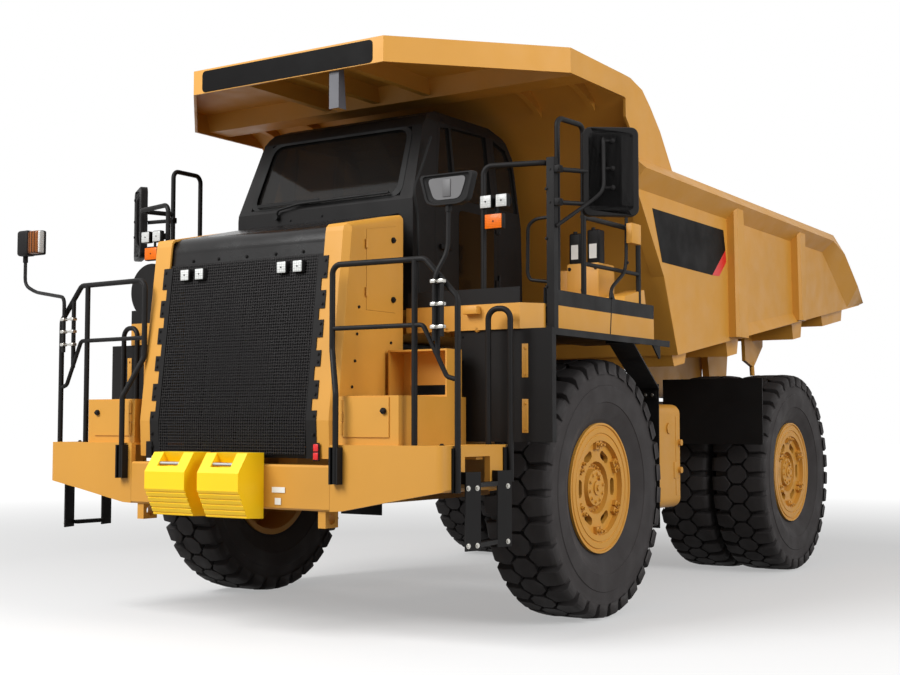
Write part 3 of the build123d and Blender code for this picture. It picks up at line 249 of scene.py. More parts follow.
def tyre_finish(name, rubber, axle):
    """Make tyre rubber: dull pale side walls, and tread that darkens past a radius about the axle."""
    material = finish(name, rubber, 0.75, 0.16, 0.2, grain=0.25, grain_scale=260.0)
    tree, shader = shader_of(material)
    reach = own_place(tree)
    for operation, other in (("SUBTRACT", [axle]), ("MULTIPLY", [(0, 1, 1)]), ("LENGTH", [])):
        step = added(tree, "ShaderNodeVectorMath", reach, *other, operation=operation)
        reach = step.outputs["Value" if operation == "LENGTH" else "Vector"]
    tread = ranged(tree, reach, SIDE_WALL_END, TREAD_START)
    dark = tuple(c * TREAD_SHADE for c in rubber)
    feed(tree, shader, Base_Color=mixed(tree, tread, rubber, dark))
    return material


MATERIALS = {}
PLAIN_FINISHES = (
    # look, screen colour, roughness, drift of the colour, gloss, metallic
    ("bright_yellow", (255, 206, 8), 0.4, 0.03),
    ("dark_gloss", (26, 20, 15), 0.1, 0.0),
    ("bracket_grey", (70, 70, 76), 0.5),
    ("pad_rubber", (30, 30, 30), 0.9),
    ("hose_rubber", (20, 20, 20), 0.55, 0.12, 0.15),
    ("pan_grey", (84, 83, 84), 0.5, 0.05),
    ("steel", (168, 168, 166), 0.35, 0.05, 0.5, 1.0),
    ("chrome_rod", (222, 222, 222), 0.12, 0.02, 0.5, 1.0),
    ("bolt_steel", (190, 188, 182), 0.3, 0.08, 0.5, 0.9),
    ("iron", (42, 42, 42), 0.6),
    ("cab_trim", (44, 42, 42), 0.8),
    ("decal_black", (9, 8, 8), 0.5, 0.02, 0.06),
    ("decal_red", (214, 28, 34), 0.35, 0.02),
    ("white_film", (228, 228, 224), 0.4, 0.03),
    ("mirror_glass", (200, 204, 208), 0.04, 0.0, 0.5, 1.0),
)


def make_materials(paint):
    """Make every material once, by its name."""
    black = tuple(paint.black)
    yellow = tuple(paint.yellow)
    MATERIALS.update({
        "yellow_paint": finish("yellow paint", yellow, paint.yellow_rough, 0.04, 0.4,
                               grain=0.06, grain_scale=700.0),
        # The chassis gets the body yellow darkened to 0.72 of it: painted shade for the parts under the
        # truck.
        "chassis_paint": finish("chassis yellow with painted shade", [c * 0.72 for c in yellow], 0.5, 0.1),
        "black_paint": finish("black paint", black, 0.5, 0.1, 0.12, grain=0.12, grain_scale=500.0),
        "nose_black": finish("nose black", black, 0.26, 0.06, 0.28, grain=0.04, grain_scale=500.0),
        "tyre_rubber": tyre_finish("front tyre rubber", tuple(paint.rubber), FRONT_WHEEL),
        "rear_tyre_rubber": tyre_finish("rear tyre rubber", tuple(paint.rubber), REAR_WHEELS),
        "lamp": lens_finish("clear lens", in_linear(240, 242, 240), 0.18, 60),
        "amber": lens_finish("amber lens", in_linear(255, 122, 6), 0.4, 90),
        "amber_dark": lens_finish("dark amber lens", in_linear(150, 84, 30), 0.2, 70),
        "glass": glass_finish(),
        "grille_mesh": mesh_finish(),
    })
    for look, colour, *settings in PLAIN_FINISHES:
        MATERIALS[look] = finish(look.replace("_", " "), in_linear(*colour), *settings)


# Shapes

def soften(bm, edges, offset, segments):
    """Round edges off."""
    bmesh.ops.bevel(bm, geom=edges, offset=offset, segments=segments, profile=0.5, affect="EDGES",
                    material=-1)


def block(bm, low, high, bevel=0.004, segments=2):
    """Add a box between two corners, its edges rounded."""
    made = bmesh.ops.create_cube(bm, size=1)["verts"]
    low, high = Vector(low), Vector(high)
    bmesh.ops.scale(bm, vec=high - low, verts=made)
    bmesh.ops.translate(bm, vec=(low + high) / 2, verts=made)
    soften(bm, list({edge for vert in made for edge in vert.link_edges}), bevel, segments)


def bar(bm, start, end, radius, sides=12, end_radius=None):
    """Add a round or tapered bar between two points."""
    start, end = Vector(start), Vector(end)
    axis = end - start
    made = bmesh.ops.create_cone(bm, cap_ends=True, segments=sides, radius1=radius,
                                 radius2=radius if end_radius is None else end_radius,
                                 depth=axis.length)["verts"]
    turn = Vector((0, 0, 1)).rotation_difference(axis).to_matrix()
    bmesh.ops.rotate(bm, cent=(0, 0, 0), matrix=turn, verts=made)
    bmesh.ops.translate(bm, vec=(start + end) / 2, verts=made)


def bolt(bm, place, size, way=(0, -1, 0)):
    """Add a hexagon bolt head on its washer."""
    place, way = Vector(place), Vector(way).normalized()
    bar(bm, place - way * 0.001, place + way * size * 0.3, size * 1.4, 14)
    bar(bm, place + way * size * 0.25, place + way * size, size, 6, size * 0.92)


def skin(bm, rings, closed=True):
    """Join rings of points to each other and close both ends."""
    loops = []
    for ring in rings:
        verts = [bm.verts.new(point) for point in ring]
        loops.append([bm.edges.new(pair) for pair in zip(verts, verts[1:] + verts[:1])])
    for first, second in zip(loops, loops[1:]):
        bmesh.ops.bridge_loops(bm, edges=first + second)
    if closed:
        for loop in (loops[0], loops[-1]):
            bmesh.ops.contextual_create(bm, geom=loop)


def slabbed(bm, outline, push, bevel=0.0):
    """Make a face from an outline, push it to a plate and soften its edges."""
    before = set(bm.edges)
    face = bm.faces.new([bm.verts.new(point) for point in outline])
    raised = bmesh.ops.extrude_face_region(bm, geom=[face])["geom"]
    bmesh.ops.translate(bm, vec=push, verts=[v for v in raised if isinstance(v, bmesh.types.BMVert)])
    if bevel:
        soften(bm, [edge for edge in bm.edges if edge not in before], bevel, 2)


def rounded(points, radius, steps=4):
    """Round the inner corners of a path of points."""
    points = [Vector(point) for point in points]
    path = [points[0]]
    for before, corner, after in zip(points, points[1:], points[2:]):
        back = (before - corner).normalized()
        ahead = (after - corner).normalized()
        reach = min(radius, (before - corner).length * 0.45, (after - corner).length * 0.45)
        start, end = corner + back * reach, corner + ahead * reach
        for step in range(steps + 1):
            share = step / steps
            path.append(start * (1 - share) ** 2 + corner * 2 * share * (1 - share) + end * share ** 2)
    path.append(points[-1])
    return path


def pipe(bm, points, radius, bend=0.05, sides=10):
    """Add a round tube along a path with rounded corners."""
    path = rounded(points, bend)
    turns = [TURN * k / sides for k in range(sides)]
    rings = []
    side = (path[1] - path[0]).orthogonal().normalized()
    for index, point in enumerate(path):
        ahead = (path[min(index + 1, len(path) - 1)] - path[max(index - 1, 0)]).normalized()
        side = (side - ahead * side.dot(ahead)).normalized()
        other = ahead.cross(side)
        rings.append([point + (side * math.cos(turn) + other * math.sin(turn)) * radius for turn in turns])
    skin(bm, rings)


def rounded_box(half_width, half_height, corner, steps=5):
    """Give the outline of a rectangle with round corners, in two coordinates about its middle."""
    outline = []
    for across, up, start in ((1, 1, 0), (-1, 1, 1), (-1, -1, 2), (1, -1, 3)):
        for step in range(steps + 1):
            angle = TURN / 4 * (start + step / steps)
            outline.append((across * (half_width - corner) + corner * math.cos(angle),
                            up * (half_height - corner) + corner * math.sin(angle)))
    return outline


def upright(y, low_x, high_x, low_z, high_z):
    """Give the corners of a rectangle that faces forwards."""
    return [at(x, y, z) for x, z in ((low_x, low_z), (high_x, low_z), (high_x, high_z), (low_x, high_z))]


def flipped(bm, side):
    """Turn the mesh over to the truck's right where the side is -1."""
    if side < 0:
        bmesh.ops.scale(bm, vec=(-1, 1, 1), verts=bm.verts)


def piece(name, bm, look, body="chassis", smooth=30, twin=False):
    """Turn a mesh into a finished piece that rides on a body; a twin is mirrored to the other side too."""
    if twin:
        bmesh.ops.mirror(bm, geom=bm.verts[:] + bm.edges[:] + bm.faces[:], axis="X", merge_dist=0.0)
    bmesh.ops.remove_doubles(bm, verts=bm.verts, dist=0.00002)
    bmesh.ops.recalc_face_normals(bm, faces=bm.faces)
    for face in bm.faces:
        face.smooth = True
    mesh = bpy.data.meshes.new(name)
    bm.to_mesh(mesh)
    bm.free()
    mesh.set_sharp_from_angle(angle=math.radians(smooth))
    mesh.materials.append(MATERIALS[look])
    made = bpy.data.objects.new(name, mesh)
    bpy.context.collection.objects.link(made)
    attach(made, body)
    look if look in SLOTS else OWN_SLOTS.get(look, "black_paint")
    return made


SLOTS = {entry["slot"] for entry in frame["record"]["materials"]}
OWN_SLOTS = {
    "rear_tyre_rubber": "tyre_rubber", "bolt_steel": "steel", "mirror_glass": "glass", "amber": "lamp",
    "amber_dark": "lamp", "dark_gloss": "glass", "hose_rubber": "pad_rubber",
}


class TRUCK_OT_paint(bpy.types.Operator):
    """Give every CAD node its material"""

    bl_idname = "truck.paint"
    bl_label = "Paint"

    def execute(self, context):
        make_materials(context.scene.truck_paint)
        for part in frame["record"]["subparts"]:
            node = frame["nodes"][part["node"]]
            look = "nose_black" if part["node"] == "bonnet" else part["material_slot"]
            node.data.materials.clear()
            node.data.materials.append(MATERIALS[look])
        return {"FINISHED"}


# Tyres and wheels

def wheel_turn(angle):
    """Give the matrix that turns a mesh about a wheel's axle."""
    return Matrix.Rotation(angle, 3, "X")


def turned(bm, centre, points, steps):
    """Spin a profile of (x, radius) points once round the axle."""
    verts = [bm.verts.new(centre + Vector((x, 0, radius))) for x, radius in points]
    edges = [bm.edges.new(pair) for pair in zip(verts, verts[1:])]
    bmesh.ops.spin(bm, geom=verts + edges, cent=centre, axis=(1, 0, 0), angle=TURN, steps=steps,
                   use_merge=True)


CASING = (
    # x from the tyre's middle, radius, from the bead to the crown
    (0.169, 0.4463), (0.169, 0.478), (0.176, 0.490), (0.188, 0.508), (0.192, 0.528), (0.214, 0.562),
    (0.234, 0.618), (0.2405, 0.622), (0.247, 0.690), (0.2455, 0.740), (0.2395, 0.745), (0.238, 0.790),
    (0.235, 0.822), (0.2375, 0.828), (0.233, 0.846), (0.220, 0.872), (0.200, 0.884), (0.12, 0.888),
    (0.0, 0.889),
)
SHOULDER = (
    # x, half width, top radius, foot radius
    (0.064, 0.008, CROWN, 0.880),
    (0.112, 0.070, CROWN, 0.880),
    (0.150, 0.066, 0.9335, 0.880),
    (0.190, 0.062, 0.928, 0.876),
    (0.223, 0.060, 0.923, 0.862),
    (0.246, 0.058, 0.905, 0.838),
    (0.2505, 0.055, 0.868, 0.824),
)
# Outline of a block of the tread's middle, in x and y
CENTRE_BLOCK = ((0.085, 0.034), (0.036, 0.080), (-0.036, 0.080), (-0.085, 0.034), (-0.085, -0.034),
                (-0.036, -0.080), (0.036, -0.080), (0.085, -0.034))
LUG_TOP = 0.86  # radius above which the shoulder lugs' edges are softened
LUG_BEVEL = 0.004
TYRE_STEPS = 96
SUNK_FOOT, SUNK_TOP = 0.006, 0.0015  # a centre block's foot lies under the groove, its top under the crown


def tread_blocks(tyre):
    """Build one pair of shoulder lugs and one centre block, at the top of a tyre, about its middle."""
    bm = bmesh.new()
    lift = tyre.crown - CROWN
    for side in (-1, 1):
        rings = []
        for x, half, top, foot in SHOULDER:
            rings.append([Vector((side * x, across * spread, radius + lift)) for across, radius, spread in (
                (-half, top, 1), (half, top, 1), (half, foot, 1.05), (-half, foot, 1.05))])
        skin(bm, rings)
    edges = [edge for edge in bm.edges if min(v.co.z for v in edge.verts) > LUG_TOP + lift]
    soften(bm, edges, LUG_BEVEL, 1)
    bmesh.ops.rotate(bm, cent=(0, 0, 0), matrix=wheel_turn(TURN / tyre.lugs / 2), verts=bm.verts)
    foot = tyre.crown - tyre.groove - SUNK_FOOT
    start = len(bm.edges)
    slabbed(bm, [(x, y, foot) for x, y in CENTRE_BLOCK], (0, 0, tyre.crown - foot - SUNK_TOP))
    bm.edges.ensure_lookup_table()
    edges = [edge for edge in bm.edges[start:] if min(v.co.z for v in edge.verts) > tyre.crown - 0.01]
    soften(bm, edges, LUG_BEVEL, 1)
    mesh = bpy.data.meshes.new("tread block")
    bm.to_mesh(mesh)
    bm.free()
    return mesh


def tyre_into(bm, centre, tyre, block_mesh):
    """Add a whole tyre about a centre."""
    profile = list(CASING) + [(-x, radius) for x, radius in reversed(CASING[:-1])]
    turned(bm, centre, profile + profile[:1], TYRE_STEPS)
    for step in range(tyre.lugs):
        start = len(bm.verts)
        bm.from_mesh(block_mesh)
        bm.verts.ensure_lookup_table()
        fresh = bm.verts[start:]
        turn = wheel_turn(TURN / 4 + TURN * step / tyre.lugs)
        bmesh.ops.rotate(bm, cent=(0, 0, 0), matrix=turn, verts=fresh)
        bmesh.ops.translate(bm, vec=centre, verts=fresh)


class TRUCK_OT_tyres(bpy.types.Operator):
    """Build the tyres with their tread blocks and ridged side walls"""

    bl_idname = "truck.tyres"
    bl_label = "Tyres"

    def execute(self, context):
        tyre = context.scene.truck_tyre
        block_mesh = tread_blocks(tyre)
        low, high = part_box("front_tyre_left")
        half = (high[0] - low[0]) / 2
        for label, side in SIDES:
            low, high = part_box(f"rear_tyres_{label}")
            front = Vector((side * FRONT_WHEEL.x, FRONT_WHEEL.y, FRONT_WHEEL.z))
            rear = middle(f"rear_tyres_{label}")
            places = (
                ("front_tyre_" + label, "front_wheel_" + label, "tyre_rubber", [front]),
                ("rear_tyres_" + label, "rear_wheel_" + label, "rear_tyre_rubber",
                 [Vector((x, rear.y, rear.z)) for x in (low[0] + half, high[0] - half)]),
            )
            for node, body, look, centres in places:
                bm = bmesh.new()
                for centre in centres:
                    tyre_into(bm, centre, tyre, block_mesh)
                made = piece("tread_" + node, bm, look, body, 32)
                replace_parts(made, node)
        bpy.data.meshes.remove(block_mesh)
        return {"FINISHED"}


RIM_REACH = 0.193  # from the middle of a wheel's face to the rim's outer edge


class TRUCK_OT_wheel_bolts(bpy.types.Operator):
    """Set the nuts, studs and plugs on the wheels' faces"""

    bl_idname = "truck.wheel_bolts"
    bl_label = "Wheel bolts"

    def execute(self, context):
        rear_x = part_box("rear_rim_left")[1][0] - RIM_REACH
        for label, side in SIDES:
            for kind, x, y in (("front", FRONT_WHEEL.x, FRONT_WHEEL.y), ("rear", rear_x, REAR_WHEELS.y)):
                bm = bmesh.new()
                self.face(bm, Vector((x, y, FRONT_WHEEL.z)))
                flipped(bm, side)
                piece(f"wheel_bolts_{kind}_{label}", bm, "yellow_paint", f"{kind}_wheel_{label}")
        return {"FINISHED"}

    @staticmethod
    def face(bm, centre):
        """Add one wheel face's fasteners, pointing along +X."""
        def ring(count, radius, x, build, start=0.0):
            for step in range(count):
                angle = start + TURN * step / count
                build(centre + Vector((x, math.cos(angle) * radius, math.sin(angle) * radius)))
        way = Vector((1, 0, 0))
        ring(10, 0.102, 0.152, lambda p: bolt(bm, p, 0.011, way), 0.2)
        ring(24, 0.164, 0.118, lambda p: bolt(bm, p, 0.008, way))
        for spread in (-0.088, 0.088):
            ring(6, 0.312, 0.176, lambda p: (bar(bm, p, p + way * 0.018, 0.017, 6, 0.016),
                                             bar(bm, p, p + way * 0.034, 0.010, 10)),
                 TURN / 12 + spread)
        hub = centre + Vector((0.155, 0, 0))
        bar(bm, hub, hub + way * 0.010, 0.052, 28)
        bar(bm, hub, hub + way * 0.022, 0.026, 6, 0.024)
        plug = centre + Vector((0.15, 0.03, 0.072))
        bar(bm, plug, plug + way * 0.024, 0.018)


# Grille and lamps

NOSE_FRONT = -2.042  # y of the grille's upright foot
NOSE_KNEE, NOSE_TOP = 1.421, 2.66  # heights between which the nose leans back
NOSE_LEAN = 0.142  # how far back it leans over that height


def nose_y(z):
    """Give the grille border's y, from the front axle, at this height."""
    return NOSE_FRONT + max(0, z - NOSE_KNEE) / (NOSE_TOP - NOSE_KNEE) * NOSE_LEAN


class TRUCK_OT_grille(bpy.types.Operator):
    """Stretch the fine mesh over the grille's slats and bolt its border"""

    bl_idname = "truck.grille"
    bl_label = "Grille mesh"

    def execute(self, context):
        bm = bmesh.new()
        half_width, sheet = 0.655, 0.003
        verts = [bm.verts.new(at(-half_width, nose_y(z) - sheet, z)) for z in (1.195, NOSE_KNEE, 2.515)]
        edges = [bm.edges.new(pair) for pair in zip(verts, verts[1:])]
        out = bmesh.ops.extrude_edge_only(bm, edges=edges)["geom"]
        bmesh.ops.translate(bm, vec=(2 * half_width, 0, 0),
                            verts=[v for v in out if isinstance(v, bmesh.types.BMVert)])
        bmesh.ops.solidify(bm, geom=bm.faces[:], thickness=sheet)
        piece("grille_mesh", bm, "grille_mesh")
        bm = bmesh.new()
        for z in (1.24, 1.33, 1.45, 1.59, 1.65, 1.8, 1.85, 1.985, 2.05, 2.18, 2.245, 2.38, 2.47):
            bolt(bm, at(0.724, nose_y(z) - 0.006, z), 0.009, (0, -1, 0.1))
        for x in (0.0, 0.26, 0.5):
            bolt(bm, at(x, -1.888, 2.545), 0.009, (0, -1, 0.05))
        piece("grille_bolts", bm, "black_paint", twin=True)
        return {"FINISHED"}


def square_lamp(housing, lens, centre, width, height, depth):
    """Add a square lamp facing forwards: a rounded housing whose lens stands a little proud."""
    half = Vector((width / 2, 0, height / 2))
    proud, knob = Vector((0, -0.002, 0)), Vector((0, -0.0035, 0))
    block(housing, centre - half, centre + half + Vector((0, depth, 0)), 0.010, 3)
    inset = Vector((0.005, 0, 0.005))
    block(lens, centre - half + inset + proud, centre + half - inset + proud + Vector((0, 0.006, 0)))
    bar(housing, centre + knob, centre + proud, 0.006)


class TRUCK_OT_lamps(bpy.types.Operator):
    """Build the head lamps and the lamp clusters on the deck rails"""

    bl_idname = "truck.lamps"
    bl_label = "Lamps"

    def execute(self, context):
        housing, lens, amber = bmesh.new(), bmesh.new(), bmesh.new()
        for x in (0.373, 0.511):
            square_lamp(housing, lens, at(x, -1.962, 2.44), 0.084, 0.084, 0.05)
        for x in (1.528, 1.650):
            square_lamp(housing, lens, at(x, -1.240, 2.875), 0.092, 0.092, 0.047)
        square_lamp(housing, amber, at(1.588, -1.240, 2.740), 0.140, 0.106, 0.047)
        block(housing, at(1.452, -1.1955, 2.850), at(1.700, -1.1893, 2.900), 0.002, 1)
        block(housing, at(1.575, -1.1955, 2.700), at(1.602, -1.1893, 2.870), 0.002, 1)
        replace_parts(piece("lamp_housings", housing, "black_paint", twin=True), "lamps")
        piece("lamp_lenses", lens, "lamp", twin=True)
        piece("lamp_amber", amber, "amber", twin=True)
        return {"FINISHED"}


# Panels and stripes

class TRUCK_OT_marks(bpy.types.Operator):
    """Lay the blank panels, the red-tipped side bands, the hanger's sheets and the door's low glass"""

    bl_idname = "truck.marks"
    bl_label = "Blank panels"

    def execute(self, context):
        bm = bmesh.new()
        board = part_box("body_canopy")[0][1] - LIFT
        panel = rounded_box(0.79, 0.08, 0.03, 4)
        slabbed(bm, [Vector((x, board, 3.946 + z)) for x, z in panel], (0, -0.003, 0))
        piece("canopy_panel", bm, "decal_black", "dump_body")
        side_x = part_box("body_tub")[1][0] + LIFT
        band = ((0.784, 3.076), (2.227, 3.073), (2.267, 2.903), (1.969, 2.658), (0.96, 2.67))
        tip = ((2.267, 2.903), (2.286, 2.80), (2.123, 2.663), (1.969, 2.658))
        for name, outline, look in (("side_band", band, "decal_black"), ("side_tip", tip, "decal_red")):
            bm = bmesh.new()
            slabbed(bm, [at(side_x, y, z) for y, z in outline], (0.0015, 0, 0))
            piece(name, bm, look, "dump_body", twin=True)
        bm = bmesh.new()
        for x in (0.393, 0.475):
            slabbed(bm, [at(x, y, z) for y, z in (
                (-1.482, 3.90), (-1.482, 3.598), (-1.398, 3.598), (-1.428, 3.90))], (0.002, 0, 0))
        slabbed(bm, upright(-1.4825, 0.393, 0.477, 3.598, 3.90), (0, -0.002, 0))
        piece("hanger_sheets", bm, "bracket_grey", "dump_body")
        bm = bmesh.new()
        outline = rounded([at(0.8205, y, z) for y, z in (
            (-0.475, 2.6), (-0.475, 2.98), (0.02, 2.98), (0.02, 2.33), (-0.475, 2.33), (-0.475, 2.6))], 0.05)
        slabbed(bm, outline[:-1], (0.002, 0, 0))
        piece("door_low_glass", bm, "dark_gloss", "cab_door")
        return {"FINISHED"}


# Cab trim

SCREEN_FOOT, SCREEN_HEAD = (-1.07, 2.99), (-0.845, 3.57)  # y and z of the windscreen's lower and upper edge
# Outline of the windscreen in x and z; it starts and ends mid-edge, so that every corner is rounded
SCREEN = ((0.0, 3.02), (0.70, 3.02), (0.66, 3.56), (-0.66, 3.56), (-0.70, 3.02), (0.0, 3.02))


def screen_y(z):
    """Give the windscreen's y, from the front axle, at this height."""
    (foot_y, foot_z), (head_y, head_z) = SCREEN_FOOT, SCREEN_HEAD
    return foot_y + (z - foot_z) * ((head_y - foot_y) / (head_z - foot_z))


class TRUCK_OT_cab_trim(bpy.types.Operator):
    """Add the wiper with its pipes, the windscreen's seal and the door handle"""

    bl_idname = "truck.cab_trim"
    bl_label = "Cab trim"

    def execute(self, context):
        bm = bmesh.new()
        for radius, bend, path in (
                (0.010, 0.06, ((0.838, -0.87, 3.46), (0.842, -0.99, 3.22), (0.842, -1.095, 3.05),
                               (0.842, -1.035, 2.87), (0.842, -1.033, 2.24))),
                (0.009, 0.05, ((-0.42, -1.085, 2.95), (-0.40, -1.10, 3.0), (-0.2, -1.092, 3.035),
                               (0.62, -1.086, 3.045)))):
            pipe(bm, [at(*point) for point in path], radius, bend, 8)
        block(bm, at(-0.62, -1.082, 3.035), at(-0.02, -1.070, 3.062), 0.003, 1)
        bar(bm, at(-0.42, -1.06, 2.95), at(-0.42, -1.105, 2.95), 0.022, 16)
        for x, z in ((0.0, 2.93), (-0.3, 2.92)):
            bolt(bm, at(x, -1.07, z), 0.008)
        piece("wiper_and_pipe", bm, "hose_rubber")
        bm = bmesh.new()
        screen_middle = 3.29

        def screen_ring(grow, depth):
            corners = [at(x * grow, screen_y(z) - depth, screen_middle + (z - screen_middle) * grow)
                       for x, z in SCREEN]
            return rounded(corners, 0.10)[:-1]
        skin(bm, [screen_ring(grow, depth) for grow, depth in (
            (1.02, 0.001), (1.02, 0.005), (0.955, 0.005), (0.955, 0.001))], closed=False)
        piece("screen_seal", bm, "hose_rubber")
        bm = bmesh.new()
        block(bm, at(0.823, -0.735, 2.66), at(0.846, -0.60, 2.70), 0.006)
        bar(bm, at(0.822, -0.70, 2.60), at(0.834, -0.70, 2.60), 0.014, 16)
        piece("door_handle", bm, "black_paint", "cab_door")
        return {"FINISHED"}


# Deck gear, rails and mirrors

CANISTERS = ((1.335, 1.435, 2.85), (1.49, 1.593, 2.87))  # low x, high x, top
MIRROR_POSTS = ((1, 1.958, -1.05), (-1, 1.834, -0.77))  # side, distance from the centre plane, y
ARM_HEIGHTS = (2.86, 3.08)


class TRUCK_OT_deck_gear(bpy.types.Operator):
    """Stand boxes, canisters and small rails on the left deck and bolt the mirrors' posts"""

    bl_idname = "truck.deck_gear"
    bl_label = "Deck gear"

    def execute(self, context):
        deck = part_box("decks")[1][2]
        bm = bmesh.new()
        block(bm, at(1.385, 0.15, deck), at(1.655, 0.42, 2.60), 0.012)
        block(bm, at(1.290, 0.20, deck), at(1.380, 0.42, 2.56), 0.010)
        block(bm, at(1.895, 0.125, 2.72), at(1.945, 0.276, 2.87), 0.006)
        slabbed(bm, [at(1.70, y, z) for y, z in (
            (0.09, 2.01), (0.077, 2.171), (0.178, 2.34), (0.502, 2.411), (0.55, 2.201), (0.55, 2.01))],
            (0.16, 0, 0), 0.006)
        piece("deck_boxes", bm, "yellow_paint")
        bm = bmesh.new()
        for x, z in ((1.41, 2.56), (1.63, 2.56), (1.52, 2.40), (1.41, 2.24), (1.63, 2.24)):
            bolt(bm, at(x, 0.149, z), 0.010)
        for low_x, high_x, top in CANISTERS:
            block(bm, at(low_x, 0.28, 2.60), at(high_x, 0.38, top), 0.014, 3)
            bar(bm, at(low_x + 0.03, 0.33, top), at(low_x + 0.03, 0.33, top + 0.02), 0.016, 14)
        piece("deck_canisters", bm, "black_paint")
        bm = bmesh.new()
        for low_x, high_x, _ in CANISTERS:
            slabbed(bm, upright(0.28 - LIFT, low_x + 0.02, high_x - 0.02, 2.65, 2.76), (0, -0.001, 0))
        piece("canister_labels", bm, "white_film")
        bm = bmesh.new()
        pipe(bm, [at(x, -1.05, z) for x, z in (
            (1.944, 2.768), (1.80, 2.76), (1.745, 2.72), (1.74, 2.40), (1.76, 2.355), (1.90, 2.335))],
            0.012, 0.04)
        pipe(bm, [at(1.88, y, z) for y, z in (
            (0.16, 2.92), (0.153, 2.585), (0.118, 2.501), (-0.095, 2.373), (-0.133, 2.032))], 0.013, 0.05)
        slabbed(bm, [at(1.858, y, z) for y, z in ((-0.04, 2.364), (0.086, 2.169), (-0.093, 2.035))],
                (0.004, 0, 0))
        for y, z in ((0.15, 2.58), (-0.11, 2.30)):
            bolt(bm, at(1.893, y, z), 0.009, (1, 0, 0))
        piece("deck_rails", bm, "black_paint")
        bm = bmesh.new()
        for side, post_x, post_y in MIRROR_POSTS:
            for z in ARM_HEIGHTS:
                for x in (-0.030, 0.030):
                    bolt(bm, at(side * post_x + x, post_y - 0.024, z), 0.009)
        for z in (2.30, 2.62, 2.95):
            bolt(bm, at(1.902, -1.079, z), 0.008)
        piece("rail_bolts", bm, "black_paint")
        return {"FINISHED"}


